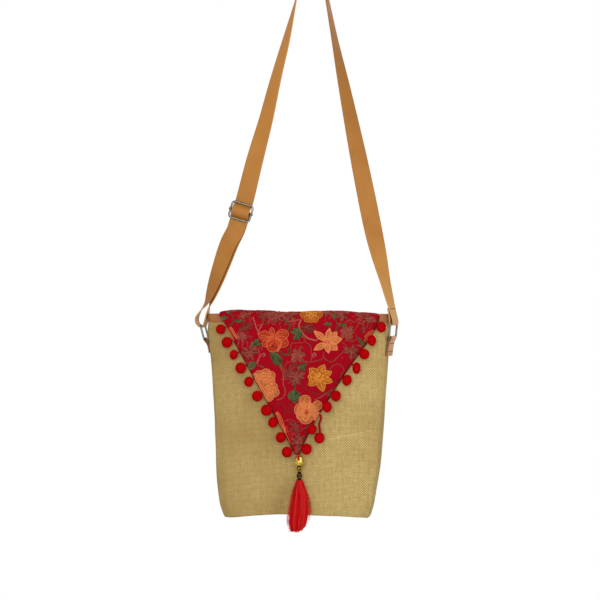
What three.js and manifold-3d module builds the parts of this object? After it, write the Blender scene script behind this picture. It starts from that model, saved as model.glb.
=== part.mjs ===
// A jute sling bag hung by its shoulder strap: a soft pouch on a boxed base with leather round its mouth,
// an embroidered cloth flap edged with pompoms and ended by a tassel, and a strap on two rings.
// Millimetres. +X is right as the front is seen, +Y goes to the back and +Z is up.
// The origin is under the top of the strap, where a peg or a shoulder carries it.
import * as THREE from 'three';
import { mergeVertices } from 'three/addons/utils/BufferGeometryUtils.js';
import Module from 'manifold-3d';

const { Vector3 } = THREE;
const GAP = 0.3; // between pieces that touch on the real bag

// The pouch: the middle of its mouth, its wall and its sections. Left, right, front and back are measured
// from the middle, and square is the power of the section's rounded outline.
const MOUTH = { x: -20, z: -482 };
const JUTE = 2;
const POUCH_SECTIONS = [
  { drop: 0, left: 124.2, right: 124.6, front: 16, back: 16, square: 4.6 },
  { drop: 40, left: 121.8, right: 124.2, front: 19.5, back: 19, square: 4.6 },
  { drop: 94, left: 117.2, right: 119.8, front: 23, back: 22.5, square: 4.6 },
  { drop: 148, left: 114.2, right: 116.7, front: 26, back: 25.5, square: 4.8 },
  { drop: 202, left: 111.8, right: 111.4, front: 29, back: 28.5, square: 5 },
  { drop: 236, left: 109, right: 105.2, front: 30.5, back: 30, square: 5.2 },
  { drop: 259, left: 104.6, right: 101, front: 30.5, back: 30, square: 5.4 },
  { drop: 272, left: 99, right: 97, front: 27.5, back: 27, square: 5.4 },
];
const POUCH_DROPS = [0, 10, 22, 45, 75, 110, 148, 180, 205, 228, 246, 260, 272];
const BASE_DROP = 272;
const BASE_RINGS = [0.8, 0.4]; // rings of the base panel, as shares of its outline
const BASE_ARCH = { x: -14, reach: 52, height: 4.4, from: 205 }; // the empty base folds up in the middle
const AROUND = { wide: 18, deep: 6 }; // steps along a long and a short side of a section
// Hollows of the front and back panels, and bulges where the depth is negative.
const FRONT_FOLDS = [
  { x: -19, drop: 262, reachX: 17, reachZ: 46, depth: 7 },
  { x: 60, drop: 190, reachX: 46, reachZ: 60, depth: -3 },
  { x: -74, drop: 226, reachX: 22, reachZ: 26, depth: 2.5 },
];
const BACK_FOLDS = [
  { x: 8, drop: 262, reachX: 20, reachZ: 44, depth: 6 },
  { x: -10, drop: 120, reachX: 60, reachZ: 60, depth: 3 },
];

// The leather binding, folded over the rim of the mouth.
const BINDING = { thickness: 1.2, height: 10.5, rounding: 0.6 };

// The flap: sewn on the back panel, over the mouth and down the front to a point. Its top lies in a low wave
// that sinks to the right. Rows give the two edges, from the middle of the mouth, and the back is narrower.
const FLAP = { thickness: 1.6, hem: 34, shoulder: 2.3 };
const FLAP_TOP = { rise: 5.2, sink: 0.008, wave: 1.2, wavelength: 120, crest: -68 };
const FLAP_BACK = { left: -104.5, right: 107.5 };
const FLAP_EDGES = [
  { drop: 0, left: -104.5, right: 113.6 },
  { drop: 15, left: -96.4, right: 110.6 },
  { drop: 34, left: -86.1, right: 99.6 },
  { drop: 67, left: -67.3, right: 75.4 },
  { drop: 101, left: -47.9, right: 53.2 },
  { drop: 134, left: -28.6, right: 32.5 },
  { drop: 167, left: -9.2, right: 15.2 },
  { drop: 187.5, left: 2.4, right: 7.4 },
];
const FLAP_STAND = [ // how far the middle of the cloth stands off the pouch
  { drop: 0, out: 2.9 },
  { drop: 14, out: 2.9 },
  { drop: 40, out: 1.7 },
  { drop: 150, out: 2 },
  { drop: 187.5, out: 6.6 },
];
const FLAP_DROPS = [0, 8, 18, 34, 50, 67, 84, 101, 118, 134, 151, 167, 178, 187.5];
const FLAP_COLUMNS = 14;
const FLAP_TOP_STEPS = 6;

// The pompoms along the flap's two edges, counted down from the top. One of the right-hand ones has come
// loose and hangs on its thread. Proud is how far a ball's middle stands before the cloth at least, and clear
// its gap to the cloth and the pouch.
const POMPOMS = { count: 10, first: 15.5, spacing: 20.9, proud: 4, clear: 0.6 };
const POMPOM = { radius: 6.8, thread: 0.7, root: 1.3, rings: 6, sides: 9 };
const POMPOM_SHIFT = { // sewn by hand: how far each one is along the edge from its even place
  left: [2.4, 1.4, -0.8, -0.5, -0.5, 1.0, 2.7, 0.8, 2.2, 2.6],
  right: [-1.6, -2.0, -2.2, -2.2, -1.9, 2.7, 0.4, -6, -5.1, 1.3],
};
const POMPOM_OUT = { // from the flap's edge to the middle of each ball
  left: [7.6, 7.9, 7.9, 7.9, 7.2, 6.4, 4.8, 5.1, 6.3, 7.6],
  right: [5.7, 3.5, 5.9, 8.8, 7.4, 6.3, 4.3, 6, 2.3, 6.8],
};
const POMPOM_PLUMP = [1, 1.04, 0.92, 1.05, 0.97, 1, 1.02, 0.98, 0.93, 1.01]; // each one's share of the radius
const LOOSE_POMPOM = { index: 7, fall: 31.4, aside: 1.2 };

// The tassel that hangs from the flap's point: a cord through a gold cap and a gold bead, a ring, and threads
// gathered under a small cap. Drops are from a bead's top, and out is a share of its radius.
const TASSEL = { x: -12.6, y: -36.8 };
const CORD = { radius: 1.1, start: -670.9, bend: 1.2, sides: 8, steps: 12 };
const GOLD_CAP = { top: -673.6, radius: 6.2, lobes: 7, swell: 0.06 };
const GOLD_CAP_INSIDE = [
  { out: 0.5, drop: 1.6 },
  { out: 0.84, drop: 5.4 },
  { out: 0.7, drop: 8.8 },
];
const GOLD_CAP_OUTSIDE = [
  { out: 0.86, drop: 8.8 },
  { out: 1, drop: 5.4 },
  { out: 0.72, drop: 1.6 },
  { out: 0.42, drop: 0 },
];
const GOLD_BEAD = { top: -682.8, height: 7.6, radius: 5.2, lip: 0.7 };
const BEAD_LATITUDES = [45, 15, -15, -45];
const BEAD_SIDES = 14;
const CORD_EYE = { ring: 1.9, wire: 0.55, z: -692.7 };
const JUMP_RING = { ring: 2.7, wire: 0.5 };
const CAP_EYE = { ring: 1.7, wire: 0.5 };
const EYE_STEPS = { wire: 6, ring: 14 };
const EYE_SUNK = 0.2; // how far an eye is let into the piece that carries it
const TASSEL_CAP = [
  { radius: 0, drop: 0 },
  { radius: 1.6, drop: 0 },
  { radius: 3.2, drop: 1.2 },
  { radius: 3.4, drop: 3.2 },
  { radius: 0, drop: 3.2 },
];
const SKIRT = { locks: 12, ridge: 0.11, sides: 36 };
const SKIRT_HEM = [ // how the lower ends rise and fall round the skirt
  { waves: 3, height: 2.2, shift: 0.8 },
  { waves: 5, height: 1.6, shift: 1.6 },
];
const SKIRT_SECTIONS = [ // fall is measured from the top of the threads
  { fall: 0, wide: 3.4, deep: 3.2, lean: 0 },
  { fall: 7, wide: 5.4, deep: 4.4, lean: 0.2 },
  { fall: 17, wide: 8.6, deep: 5.4, lean: 0.5 },
  { fall: 30, wide: 11.4, deep: 5.9, lean: 0.6 },
  { fall: 44, wide: 12.8, deep: 6, lean: -0.4 },
  { fall: 55, wide: 12.4, deep: 5.9, lean: -1.6 },
  { fall: 63, wide: 9.6, deep: 5.2, lean: -2.6 },
];

// The rings at the two sides, and the leather tabs that hold them. Turn is how far a ring is swung about +Z,
// lean how far its top goes outwards, and drop is where its lower bar is below the mouth. Stand is how
// far that bar, or the tab, is off the pouch, and twist how far the tab's foot turns on from the ring.
const WIRE = 1.4; // radius of the rings' and the slider's wire
const WIRE_SIDES = 6;
const RING = { inside: 27.4, tall: 20, corner: 2.4 };
const RING_SIDES = [
  {
    name: 'left', side: -1, drop: 34, lean: 15, turn: -1, stand: 5.4,
    tab: { stand: 1.7, twist: -11, length: 18.5 },
  },
  {
    name: 'right', side: 1, drop: 31, lean: 6, turn: 4, stand: 4.4,
    tab: { stand: 1.7, twist: 9, length: 22 },
  },
];
const TAB = { thickness: 1.5, width: 23, bend: 8 };
const TAB_NECK = { from: 2, to: 9, share: 0.78 }; // the tab narrows below the ring

// The shoulder strap: one leather band, and the slider that sets its length.
const STRAP = { width: 25, thickness: 1.8 };
const PEG = { radius: 11, from: 165, to: 11, steps: 8 }; // the bend at the top, by angles about the peg
const SLIDER = { x: -99.3, z: -340.6, tilt: 17.1, inside: 27, bars: 11.2, corner: 4 };
const LUG = { radius: 2, length: 4.4, sides: 8 }; // the curled ends of the middle bar
// Rows down each leg from the peg. Facing is 0 where the band's outer face looks to the front and 90
// where it looks outwards.
const LEFT_LEG = [
  { x: -23.1, y: 0, z: -53.9, facing: 76 },
  { x: -36.5, y: 0, z: -108.3, facing: 54 },
  { x: -51.6, y: 0, z: -162.7, facing: 42 },
  { x: -64.7, y: 0, z: -217.1, facing: 28 },
  { x: -80.6, y: 0.6, z: -271.5, facing: 10 },
];
const RIGHT_LEG = [
  { x: 20.4, y: 0, z: -53.9, facing: 86 },
  { x: 30.6, y: 0, z: -108.3, facing: 77 },
  { x: 41.6, y: 0, z: -162.7, facing: 60 },
  { x: 52.6, y: 0, z: -217.1, facing: 46 },
  { x: 63.6, y: 0, z: -271.5, facing: 30 },
  { x: 74.6, y: 0, z: -325.9, facing: 18 },
  { x: 82.9, y: 0, z: -366.7, facing: 20 },
  { x: 90.6, y: 0, z: -400.7, facing: 38 },
  { x: 98.7, y: 0, z: -434.7, facing: 62 },
  { x: 105.4, y: 0, z: -461.9, facing: 76 },
  { x: 108.3, y: 0, z: -472.7, facing: 82 },
  { x: 111.6, y: 0, z: -484, facing: 86 },
];
const RIGHT_END = [ // the end sewn behind the right leg
  { x: 107.9, y: 0, z: -485, facing: 86 },
  { x: 107.5, y: 0, z: -479, facing: 85 },
  { x: 105.7, y: 0, z: -471.5, facing: 82 },
];
const OUTER_RUN = [ // from the slider down to the left ring
  { x: -116, y: 2.2, z: -380.3, facing: 10 },
  { x: -126.4, y: 1.2, z: -407.5, facing: 22 },
  { x: -136, y: 0.3, z: -434.7, facing: 36 },
  { x: -143.2, y: 0, z: -455.1, facing: 52 },
  { x: -147.6, y: 0, z: -466, facing: 66 },
  { x: -152.4, y: 0, z: -474.1, facing: 77 },
  { x: -159.4, y: 0, z: -485.6, facing: 88 },
  { x: -159.4, y: 0, z: -493.3, facing: 89 },
  { x: -156, y: 0, z: -498.1, facing: 89 },
];
const INNER_RUN = [ // from the left ring back up to the slider
  { x: -148.3, y: 0, z: -487, facing: 89 },
  { x: -147.2, y: 0, z: -480, facing: 87 },
  { x: -144.6, y: 0.2, z: -472, facing: 80 },
  { x: -140.2, y: 0.8, z: -461.9, facing: 64 },
  { x: -131.6, y: 3, z: -434.7, facing: 40 },
  { x: -123, y: 5.2, z: -407.5, facing: 24 },
  { x: -114, y: 6.8, z: -380.3, facing: 10 },
];
// Through the slider, along the strap from its middle bar and out towards the front. The main run goes
// behind the two outer bars and over the middle one. The end comes up behind, round the middle bar and down.
const SLIDER_MAIN = [
  { along: 26, out: -2 },
  { along: 16, out: -3 },
  { along: 11.2, out: -3.2 },
  { along: 8.6, out: -2.2 },
  { along: 6.9, out: 0 },
  { along: 4.2, out: 3.7 },
  { along: 0, out: 4.9 },
  { along: -3.9, out: 3.8 },
  { along: -6.8, out: 0.2 },
  { along: -8.4, out: -2.1 },
  { along: -11.2, out: -3.2 },
  { along: -17, out: -3 },
  { along: -28, out: -2.6 },
];
const SLIDER_LOOP = [
  { along: -28, out: -7.2 },
  { along: -17, out: -7.7 },
  { along: -11.2, out: -7.8 },
  { along: -6, out: -6.9 },
  { along: -2.2, out: -4.2 },
];
const SLIDER_END = [
  { along: -2.4, out: 1.7 },
  { along: -3.9, out: -0.6 },
  { along: -6.2, out: -3.6 },
  { along: -11.2, out: -5.5 },
  { along: -17, out: -5.3 },
  { along: -27, out: -4.9 },
];

const LEATHER = new THREE.MeshStandardMaterial({ color: 0xbd8445, roughness: 0.6 });
const BINDING_LEATHER = new THREE.MeshStandardMaterial({ color: 0xa86b41, roughness: 0.6 });
const JUTE_CLOTH = new THREE.MeshStandardMaterial({ color: 0xb49c63, roughness: 0.95 });
const FLAP_CLOTH = new THREE.MeshStandardMaterial({ color: 0xa20c1c, roughness: 0.9 });
const POMPOM_WOOL = new THREE.MeshStandardMaterial({ color: 0xaa0c0f, roughness: 1 });
const TASSEL_THREAD = new THREE.MeshStandardMaterial({ color: 0xb71112, roughness: 0.7 });
const GOLD = new THREE.MeshStandardMaterial({ color: 0xc9a35a, roughness: 0.3, metalness: 1 });
const NICKEL = new THREE.MeshStandardMaterial({ color: 0xb9bab5, roughness: 0.25, metalness: 1 });

const wasm = await Module();
wasm.setup();
const bag = new THREE.Group();

const radians = THREE.MathUtils.degToRad;

function add(name, geometry, material) {
  const mesh = new THREE.Mesh(geometry, material);
  mesh.name = name;
  bag.add(mesh);
}

// A column of a table at any place along its key, on a smooth curve through the rows.
function lookUp(table, column, key, at) {
  const last = table.length - 1;
  const value = (i) => table[Math.min(Math.max(i, 0), last)][column];
  if (at <= table[0][key]) return value(0);
  if (at >= table[last][key]) return value(last);
  const i = table.findIndex((row) => row[key] > at) - 1;
  const slope = (k) => {
    const before = Math.max(k - 1, 0);
    const after = Math.min(k + 1, last);
    return (value(after) - value(before)) / (table[after][key] - table[before][key]);
  };
  const span = table[i + 1][key] - table[i][key];
  const t = (at - table[i][key]) / span;
  const rest = 1 - t;
  return rest * rest * (1 + 2 * t) * value(i) + t * t * (3 - 2 * t) * value(i + 1)
    + span * t * rest * (rest * slope(i) - t * slope(i + 1));
}

// A geometry from points and triangles, turned right side out.
function solid(points, triangles) {
  const geometry = new THREE.BufferGeometry();
  geometry.setAttribute('position', new THREE.Float32BufferAttribute(points.flatMap((p) => p.toArray()), 3));
  const volume = triangles.reduce((sum, [a, b, c]) => {
    return sum + points[a].dot(new Vector3().crossVectors(points[b], points[c]));
  }, 0);
  const facing = volume > 0 ? triangles : triangles.map(([a, b, c]) => [a, c, b]);
  geometry.setIndex(facing.flat());
  return geometry;
}

// A skin through closed sections with the same number of points. It runs back to its first section
// where it is a ring, and otherwise has a cap on each end.
function loft(sections, { ring = false } = {}) {
  const count = sections[0].length;
  const points = sections.flat();
  const triangles = [];
  const spans = ring ? sections.length : sections.length - 1;
  for (let i = 0; i < spans; i += 1) {
    const here = i * count;
    const next = ((i + 1) % sections.length) * count;
    for (let j = 0; j < count; j += 1) {
      const k = (j + 1) % count;
      triangles.push([here + j, here + k, next + k], [here + j, next + k, next + j]);
    }
  }
  if (ring) return solid(points, triangles);
  const last = (sections.length - 1) * count;
  const middle = (section) => section.reduce((sum, p) => sum.add(p), new Vector3()).divideScalar(count);
  points.push(middle(sections[0]), middle(sections.at(-1)));
  for (let j = 0; j < count; j += 1) {
    const k = (j + 1) % count;
    triangles.push([points.length - 2, k, j], [points.length - 1, last + j, last + k]);
  }
  return solid(points, triangles);
}

// A sheet of even thickness about a grid of points.
function sheet(grid, thickness) {
  const rows = grid.length;
  const columns = grid[0].length;
  const at = (i, j) => grid[Math.min(Math.max(i, 0), rows - 1)][Math.min(Math.max(j, 0), columns - 1)];
  const points = [];
  for (const face of [1, -1]) {
    for (let i = 0; i < rows; i += 1) {
      for (let j = 0; j < columns; j += 1) {
        const along = at(i + 1, j).clone().sub(at(i - 1, j));
        const across = at(i, j + 1).clone().sub(at(i, j - 1));
        const normal = along.cross(across).normalize();
        points.push(at(i, j).clone().addScaledVector(normal, (face * thickness) / 2));
      }
    }
  }
  const triangles = [];
  const quad = (a, b, c, d) => triangles.push([a, b, c], [a, c, d]);
  const back = rows * columns;
  for (let i = 0; i < rows - 1; i += 1) {
    for (let j = 0; j < columns - 1; j += 1) {
      const a = i * columns + j;
      quad(a, a + 1, a + columns + 1, a + columns);
      quad(back + a, back + a + columns, back + a + columns + 1, back + a + 1);
    }
    const left = i * columns;
    const right = left + columns - 1;
    quad(left, left + columns, back + left + columns, back + left);
    quad(right, back + right, back + right + columns, right + columns);
  }
  const end = (rows - 1) * columns;
  for (let j = 0; j < columns - 1; j += 1) {
    quad(j, back + j, back + j + 1, j + 1);
    quad(end + j, end + j + 1, back + end + j + 1, back + end + j);
  }
  return solid(points, triangles);
}

// Closed geometries joined into one body.
function join(...geometries) {
  const bodies = geometries.map((geometry) => {
    const bare = geometry.clone();
    bare.deleteAttribute('normal');
    bare.deleteAttribute('uv');
    const merged = mergeVertices(bare, 1e-3);
    return new wasm.Manifold(new wasm.Mesh({
      numProp: 3,
      vertProperties: Float32Array.from(merged.attributes.position.array),
      triVerts: Uint32Array.from(merged.index.array),
    }));
  });
  const mesh = bodies.reduce((sum, body) => sum.add(body)).getMesh();
  const geometry = new THREE.BufferGeometry();
  geometry.setAttribute('position', new THREE.BufferAttribute(mesh.vertProperties, 3));
  geometry.setIndex(new THREE.BufferAttribute(mesh.triVerts, 1));
  return geometry;
}

// Pouch. A section's outline starts from the edge of a unit square, so that the long sides get more points.
function sectionDirections() {
  const edge = (steps) => Array.from({ length: steps }, (_, i) => (2 * i) / steps - 1);
  return [
    ...edge(AROUND.wide).map((p) => [p, -1]),
    ...edge(AROUND.deep).map((q) => [1, q]),
    ...edge(AROUND.wide).map((p) => [-p, 1]),
    ...edge(AROUND.deep).map((q) => [-1, -q]),
  ];
}

function foldDepth(folds, x, drop) {
  return folds.reduce((sum, fold) => {
    const across = (x - fold.x) / fold.reachX;
    const down = (drop - fold.drop) / fold.reachZ;
    return sum + fold.depth * Math.exp(-across * across - down * down);
  }, 0);
}

function pouchHeight(x, drop) {
  const across = (x - BASE_ARCH.x) / BASE_ARCH.reach;
  const share = THREE.MathUtils.smoothstep(drop, BASE_ARCH.from, BASE_DROP);
  return MOUTH.z - drop + BASE_ARCH.height * share * Math.exp(-across * across);
}

const pouchSize = (column, drop) => lookUp(POUCH_SECTIONS, column, 'drop', drop);

// A point of the pouch's outer face, or of a face that lies the given distance out from it.
function pouchPoint([p, q], drop, out = 0) {
  const power = pouchSize('square', drop);
  const reach = (Math.abs(p) ** power + Math.abs(q) ** power) ** (-1 / power);
  const x = p * reach * (pouchSize(p < 0 ? 'left' : 'right', drop) + out);
  const y = q * reach * (pouchSize(q < 0 ? 'front' : 'back', drop) + out);
  const folds = q < 0 ? FRONT_FOLDS : BACK_FOLDS;
  const inward = -Math.sign(q) * Math.abs(q * reach) * foldDepth(folds, x, drop);
  return new Vector3(MOUTH.x + x, y + inward, pouchHeight(x, drop));
}

// How far the front or back panel stands from the middle at a place across it.
function panelDepth(panel, x, drop) {
  const power = pouchSize('square', drop);
  const share = Math.min(Math.abs(x) / pouchSize(x < 0 ? 'left' : 'right', drop), 1);
  const depth = (1 - share ** power) ** (1 / power);
  const folds = panel === 'front' ? FRONT_FOLDS : BACK_FOLDS;
  return depth * (pouchSize(panel, drop) - foldDepth(folds, x, drop));
}

function pouchGeometry() {
  const directions = sectionDirections();
  const ring = (drop, out) => directions.map((direction) => pouchPoint(direction, drop, out));
  const base = (share, out) => {
    const outline = ring(BASE_DROP, out);
    return outline.map((p) => {
      const flat = new Vector3(MOUTH.x + (p.x - MOUTH.x) * share, p.y * share, p.z - out);
      flat.z = pouchHeight(flat.x - MOUTH.x, BASE_DROP) - out;
      return flat;
    });
  };
  const inner = POUCH_DROPS.slice(0, -1).map((drop) => ring(drop, -JUTE));
  const innerBase = BASE_RINGS.map((share) => base(share, -JUTE));
  const outer = POUCH_DROPS.map((drop) => ring(drop, 0));
  const outerBase = BASE_RINGS.map((share) => base(share, 0));
  return loft([...innerBase.reverse(), ...inner.reverse(), ...outer, ...outerBase]);
}

function bindingGeometry() {
  const far = GAP + BINDING.thickness;
  const inside = -JUTE - far;
  const profile = [ // out from the pouch's face, and up from the rim
    [GAP, -BINDING.height],
    [far, -BINDING.height],
    [far, GAP],
    [far - BINDING.rounding, far],
    [inside + BINDING.rounding, far],
    [inside, GAP],
    [inside, -BINDING.height],
    [inside + BINDING.thickness, -BINDING.height],
    [inside + BINDING.thickness, GAP],
    [GAP, GAP],
  ];
  const rings = profile.map(([out, up]) => sectionDirections().map((direction) => {
    const point = pouchPoint(direction, Math.max(-up, 0), out);
    point.z = MOUTH.z + up;
    return point;
  }));
  return loft(rings, { ring: true });
}

// Flap. Its cloth runs up the back panel, over the mouth and down the front.
const flapEdge = (side, drop) => lookUp(FLAP_EDGES, side, 'drop', drop);
const flapStand = (drop) => lookUp(FLAP_STAND, 'out', 'drop', drop);

function flapFront(x, drop) {
  const y = -panelDepth('front', x, drop) - flapStand(drop);
  return new Vector3(MOUTH.x + x, y, MOUTH.z - drop);
}

function flapGeometry() {
  const columns = Array.from({ length: FLAP_COLUMNS + 1 }, (_, j) => j / FLAP_COLUMNS);
  const between = (left, right) => columns.map((t) => THREE.MathUtils.lerp(left, right, t));
  const across = (drop) => between(flapEdge('left', drop), flapEdge('right', drop));
  const backRow = (drop) => between(FLAP_BACK.left, FLAP_BACK.right).map((x) => {
    return new Vector3(MOUTH.x + x, panelDepth('back', x, drop) + flapStand(0), MOUTH.z - drop);
  });
  const overTop = (side, share) => THREE.MathUtils.lerp(FLAP_BACK[side], flapEdge(side, 0), share);
  const topEdges = (angle) => ['left', 'right'].map((side) => overTop(side, angle / Math.PI));
  const topRow = (angle) => between(...topEdges(angle)).map((x) => {
    const behind = panelDepth('back', x, 0) + flapStand(0);
    const before = -panelDepth('front', x, 0) - flapStand(0);
    const wave = FLAP_TOP.wave * Math.cos((2 * Math.PI * (x - FLAP_TOP.crest)) / FLAP_TOP.wavelength);
    const rise = FLAP_TOP.rise - FLAP_TOP.sink * x + wave;
    const y = (behind + before) / 2 + ((behind - before) / 2) * Math.cos(angle);
    const up = THREE.MathUtils.lerp(FLAP.shoulder, rise, Math.sin(angle));
    return new Vector3(MOUTH.x + x, y, MOUTH.z + up);
  });
  const angles = Array.from({ length: FLAP_TOP_STEPS + 1 }, (_, i) => (Math.PI * i) / FLAP_TOP_STEPS);
  const grid = [
    ...[FLAP.hem, FLAP.hem / 2, 0].map(backRow),
    ...angles.map(topRow),
    ...FLAP_DROPS.map((drop) => across(drop).map((x) => flapFront(x, drop))),
  ];
  return sheet(grid, FLAP.thickness);
}

// A place on the flap's edge, by its distance along the edge from the top, and the way out from it.
function edgePlace(side, distance) {
  const step = 0.5;
  let drop = 0;
  let gone = 0;
  while (gone < distance) {
    gone += Math.hypot(step, flapEdge(side, drop + step) - flapEdge(side, drop));
    drop += step;
  }
  const x = flapEdge(side, drop);
  const slope = (flapEdge(side, drop + step) - x) / step;
  const outward = new Vector3(1, 0, slope).normalize().multiplyScalar(side === 'left' ? -1 : 1);
  return { point: flapFront(x, drop), outward };
}

// A ball of wool on its thread, from the thread's end to the middle of the ball.
function pompomGeometry(start, centre, radius) {
  const axis = centre.clone().sub(start);
  const length = axis.length();
  const ball = Array.from({ length: POMPOM.rings }, (_, i) => {
    const angle = Math.PI * ((i + 1) / POMPOM.rings);
    return new THREE.Vector2(radius * Math.sin(angle), length - radius * Math.cos(angle));
  });
  ball.at(-1).x = 0;
  const neck = length - Math.sqrt(radius ** 2 - POMPOM.thread ** 2);
  const profile = [
    new THREE.Vector2(0, 0),
    new THREE.Vector2(POMPOM.thread, 0),
    new THREE.Vector2(POMPOM.thread, neck),
    ...ball,
  ];
  const geometry = new THREE.LatheGeometry(profile, POMPOM.sides);
  const turn = new THREE.Quaternion().setFromUnitVectors(new Vector3(0, 1, 0), axis.normalize());
  return geometry.applyQuaternion(turn).translate(start.x, start.y, start.z);
}

function addPompoms(side) {
  for (let i = 0; i < POMPOMS.count; i += 1) {
    const along = POMPOMS.first + i * POMPOMS.spacing + POMPOM_SHIFT[side][i];
    const { point, outward } = edgePlace(side, along);
    const radius = POMPOM.radius * POMPOM_PLUMP[i];
    const loose = side === 'right' && i === LOOSE_POMPOM.index;
    const start = point.clone().addScaledVector(outward, POMPOM.root);
    const out = POMPOM_OUT[side][i];
    const centre = point.clone().addScaledVector(outward, out);
    if (loose) {
      centre.set(point.x + LOOSE_POMPOM.aside, point.y, point.z - LOOSE_POMPOM.fall);
    }
    const panel = panelDepth('front', centre.x - MOUTH.x, MOUTH.z - centre.z);
    const onPouch = -panel - radius - POMPOMS.clear;
    const reach = radius + FLAP.thickness / 2 + POMPOMS.clear;
    const proud = Math.max(POMPOMS.proud, Math.sqrt(Math.max(reach ** 2 - out ** 2, 0)));
    centre.y = loose ? onPouch : Math.min(onPouch, point.y - proud);
    add(`pompom_${side}_${i + 1}`, pompomGeometry(start, centre, radius), POMPOM_WOOL);
  }
}

// Points round a circle, each set in its place.
function circle(radius, sides, place) {
  return Array.from({ length: sides }, (_, i) => {
    const angle = (2 * Math.PI * i) / sides;
    return place(radius * Math.cos(angle), radius * Math.sin(angle));
  });
}

// A bead turned round an upright bore, as a closed outline of radii and heights.
function turned(outline, { lobes = 0, swell = 0 } = {}) {
  const rings = outline.map(([radius, z]) => circle(radius, BEAD_SIDES, (x, y) => {
    const lobe = 1 + swell * Math.cos(lobes * Math.atan2(y, x));
    return new Vector3(TASSEL.x + lobe * x, TASSEL.y + lobe * y, z);
  }));
  return loft(rings, { ring: true });
}

function eyeGeometry({ ring, wire }, z, turn) {
  const torus = new THREE.TorusGeometry(ring, wire, EYE_STEPS.wire, EYE_STEPS.ring);
  return torus.rotateX(Math.PI / 2).rotateZ(turn).translate(TASSEL.x, TASSEL.y, z);
}

function cordGeometry() {
  const point = FLAP_EDGES.at(-1);
  const tip = flapFront((point.left + point.right) / 2, point.drop);
  const foot = CORD_EYE.z + CORD_EYE.ring - EYE_SUNK;
  const straight = [GOLD_CAP.top + CORD.bend, GOLD_CAP.top - CORD.bend / 2, GOLD_BEAD.top, foot];
  const path = new THREE.CatmullRomCurve3([
    new Vector3(tip.x, tip.y, CORD.start),
    ...straight.map((z) => new Vector3(TASSEL.x, TASSEL.y, z)),
  ]);
  const round = new THREE.Shape(circle(CORD.radius, CORD.sides, (x, y) => new THREE.Vector2(x, y)));
  return new THREE.ExtrudeGeometry(round, { steps: CORD.steps, extrudePath: path, bevelEnabled: false });
}

function goldCapGeometry(bore) {
  const { top, radius } = GOLD_CAP;
  const place = ({ out, drop }) => [radius * out, top - drop];
  const throat = [[bore, top], [bore, top - GOLD_CAP_INSIDE[0].drop / 2]];
  return turned([...throat, ...GOLD_CAP_INSIDE.map(place), ...GOLD_CAP_OUTSIDE.map(place)], GOLD_CAP);
}

function goldBeadGeometry(bore) {
  const { top, height, radius, lip } = GOLD_BEAD;
  const waist = top - height / 2;
  const round = BEAD_LATITUDES.map((degrees) => {
    return [radius * Math.cos(radians(degrees)), waist + (height / 2) * Math.sin(radians(degrees))];
  });
  return turned([
    [bore, top - height],
    [bore, top],
    [bore + lip, top],
    ...round,
    [bore + lip, top - height],
  ]);
}

// The threads of the tassel, gathered in locks that end at uneven heights.
function skirtGeometry(top) {
  const sections = SKIRT_SECTIONS.map(({ fall, wide, deep, lean }, i) => circle(1, SKIRT.sides, (c, s) => {
    const angle = Math.atan2(s, c);
    const share = i / (SKIRT_SECTIONS.length - 1);
    const lock = 1 + SKIRT.ridge * share * Math.cos(SKIRT.locks * angle);
    const hem = SKIRT_HEM.reduce((sum, { waves, height, shift }) => {
      return sum + height * Math.sin(waves * angle + shift);
    }, 0);
    const z = top - fall + share ** 3 * hem;
    return new Vector3(TASSEL.x + lean + wide * lock * c, TASSEL.y + deep * lock * s, z);
  }));
  return loft(sections);
}

function addTassel() {
  const bore = CORD.radius + GAP;
  add('tassel_cord', join(cordGeometry(), eyeGeometry(CORD_EYE, CORD_EYE.z, 0)), TASSEL_THREAD);
  add('gold_cap', goldCapGeometry(bore), GOLD);
  add('gold_bead', goldBeadGeometry(bore), GOLD);

  const hung = (upper, lower, z) => z - upper.ring + upper.wire + lower.wire + GAP - lower.ring;
  const ringZ = hung(CORD_EYE, JUMP_RING, CORD_EYE.z);
  const eyeZ = hung(JUMP_RING, CAP_EYE, ringZ);
  add('jump_ring', eyeGeometry(JUMP_RING, ringZ, Math.PI / 2), GOLD);

  const capTop = eyeZ - CAP_EYE.ring + EYE_SUNK;
  const outline = TASSEL_CAP.map(({ radius, drop }) => new THREE.Vector2(radius, -drop)).reverse();
  const cap = new THREE.LatheGeometry(outline, BEAD_SIDES).rotateX(Math.PI / 2);
  cap.translate(TASSEL.x, TASSEL.y, capTop);
  add('tassel_cap', join(cap, eyeGeometry(CAP_EYE, eyeZ, 0)), GOLD);
  add('tassel_skirt', skirtGeometry(capTop - TASSEL_CAP.at(-1).drop - GAP), TASSEL_THREAD);
}

// Wire bent round a closed path in the plane of two directions.
function wireLoop(path, u, v, centre) {
  const w = new Vector3().crossVectors(u, v);
  const flat = path.map(([a, b]) => new THREE.Vector2(a, b));
  const sections = flat.map((here, i) => {
    const before = flat.at(i - 1);
    const after = flat[(i + 1) % flat.length];
    const along = after.clone().sub(before).normalize();
    return circle(WIRE, WIRE_SIDES, (out, side) => centre.clone()
      .addScaledVector(u, here.x + along.y * out)
      .addScaledVector(v, here.y - along.x * out)
      .addScaledVector(w, side));
  });
  return loft(sections, { ring: true });
}

// A rectangle with round corners, as points round its wire's middle.
function roundedPath(wide, tall, corner) {
  const points = [];
  for (const [quarter, x, y] of [[0, 1, 1], [1, -1, 1], [2, -1, -1], [3, 1, -1]]) {
    for (const part of [0, 0.5, 1]) {
      const angle = (Math.PI / 2) * (quarter + part);
      points.push([
        x * (wide / 2 - corner) + corner * Math.cos(angle),
        y * (tall / 2 - corner) + corner * Math.sin(angle),
      ]);
    }
  }
  return points;
}

const barWay = ({ turn }) => new Vector3(Math.sin(radians(turn)), Math.cos(radians(turn)), 0);

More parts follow.
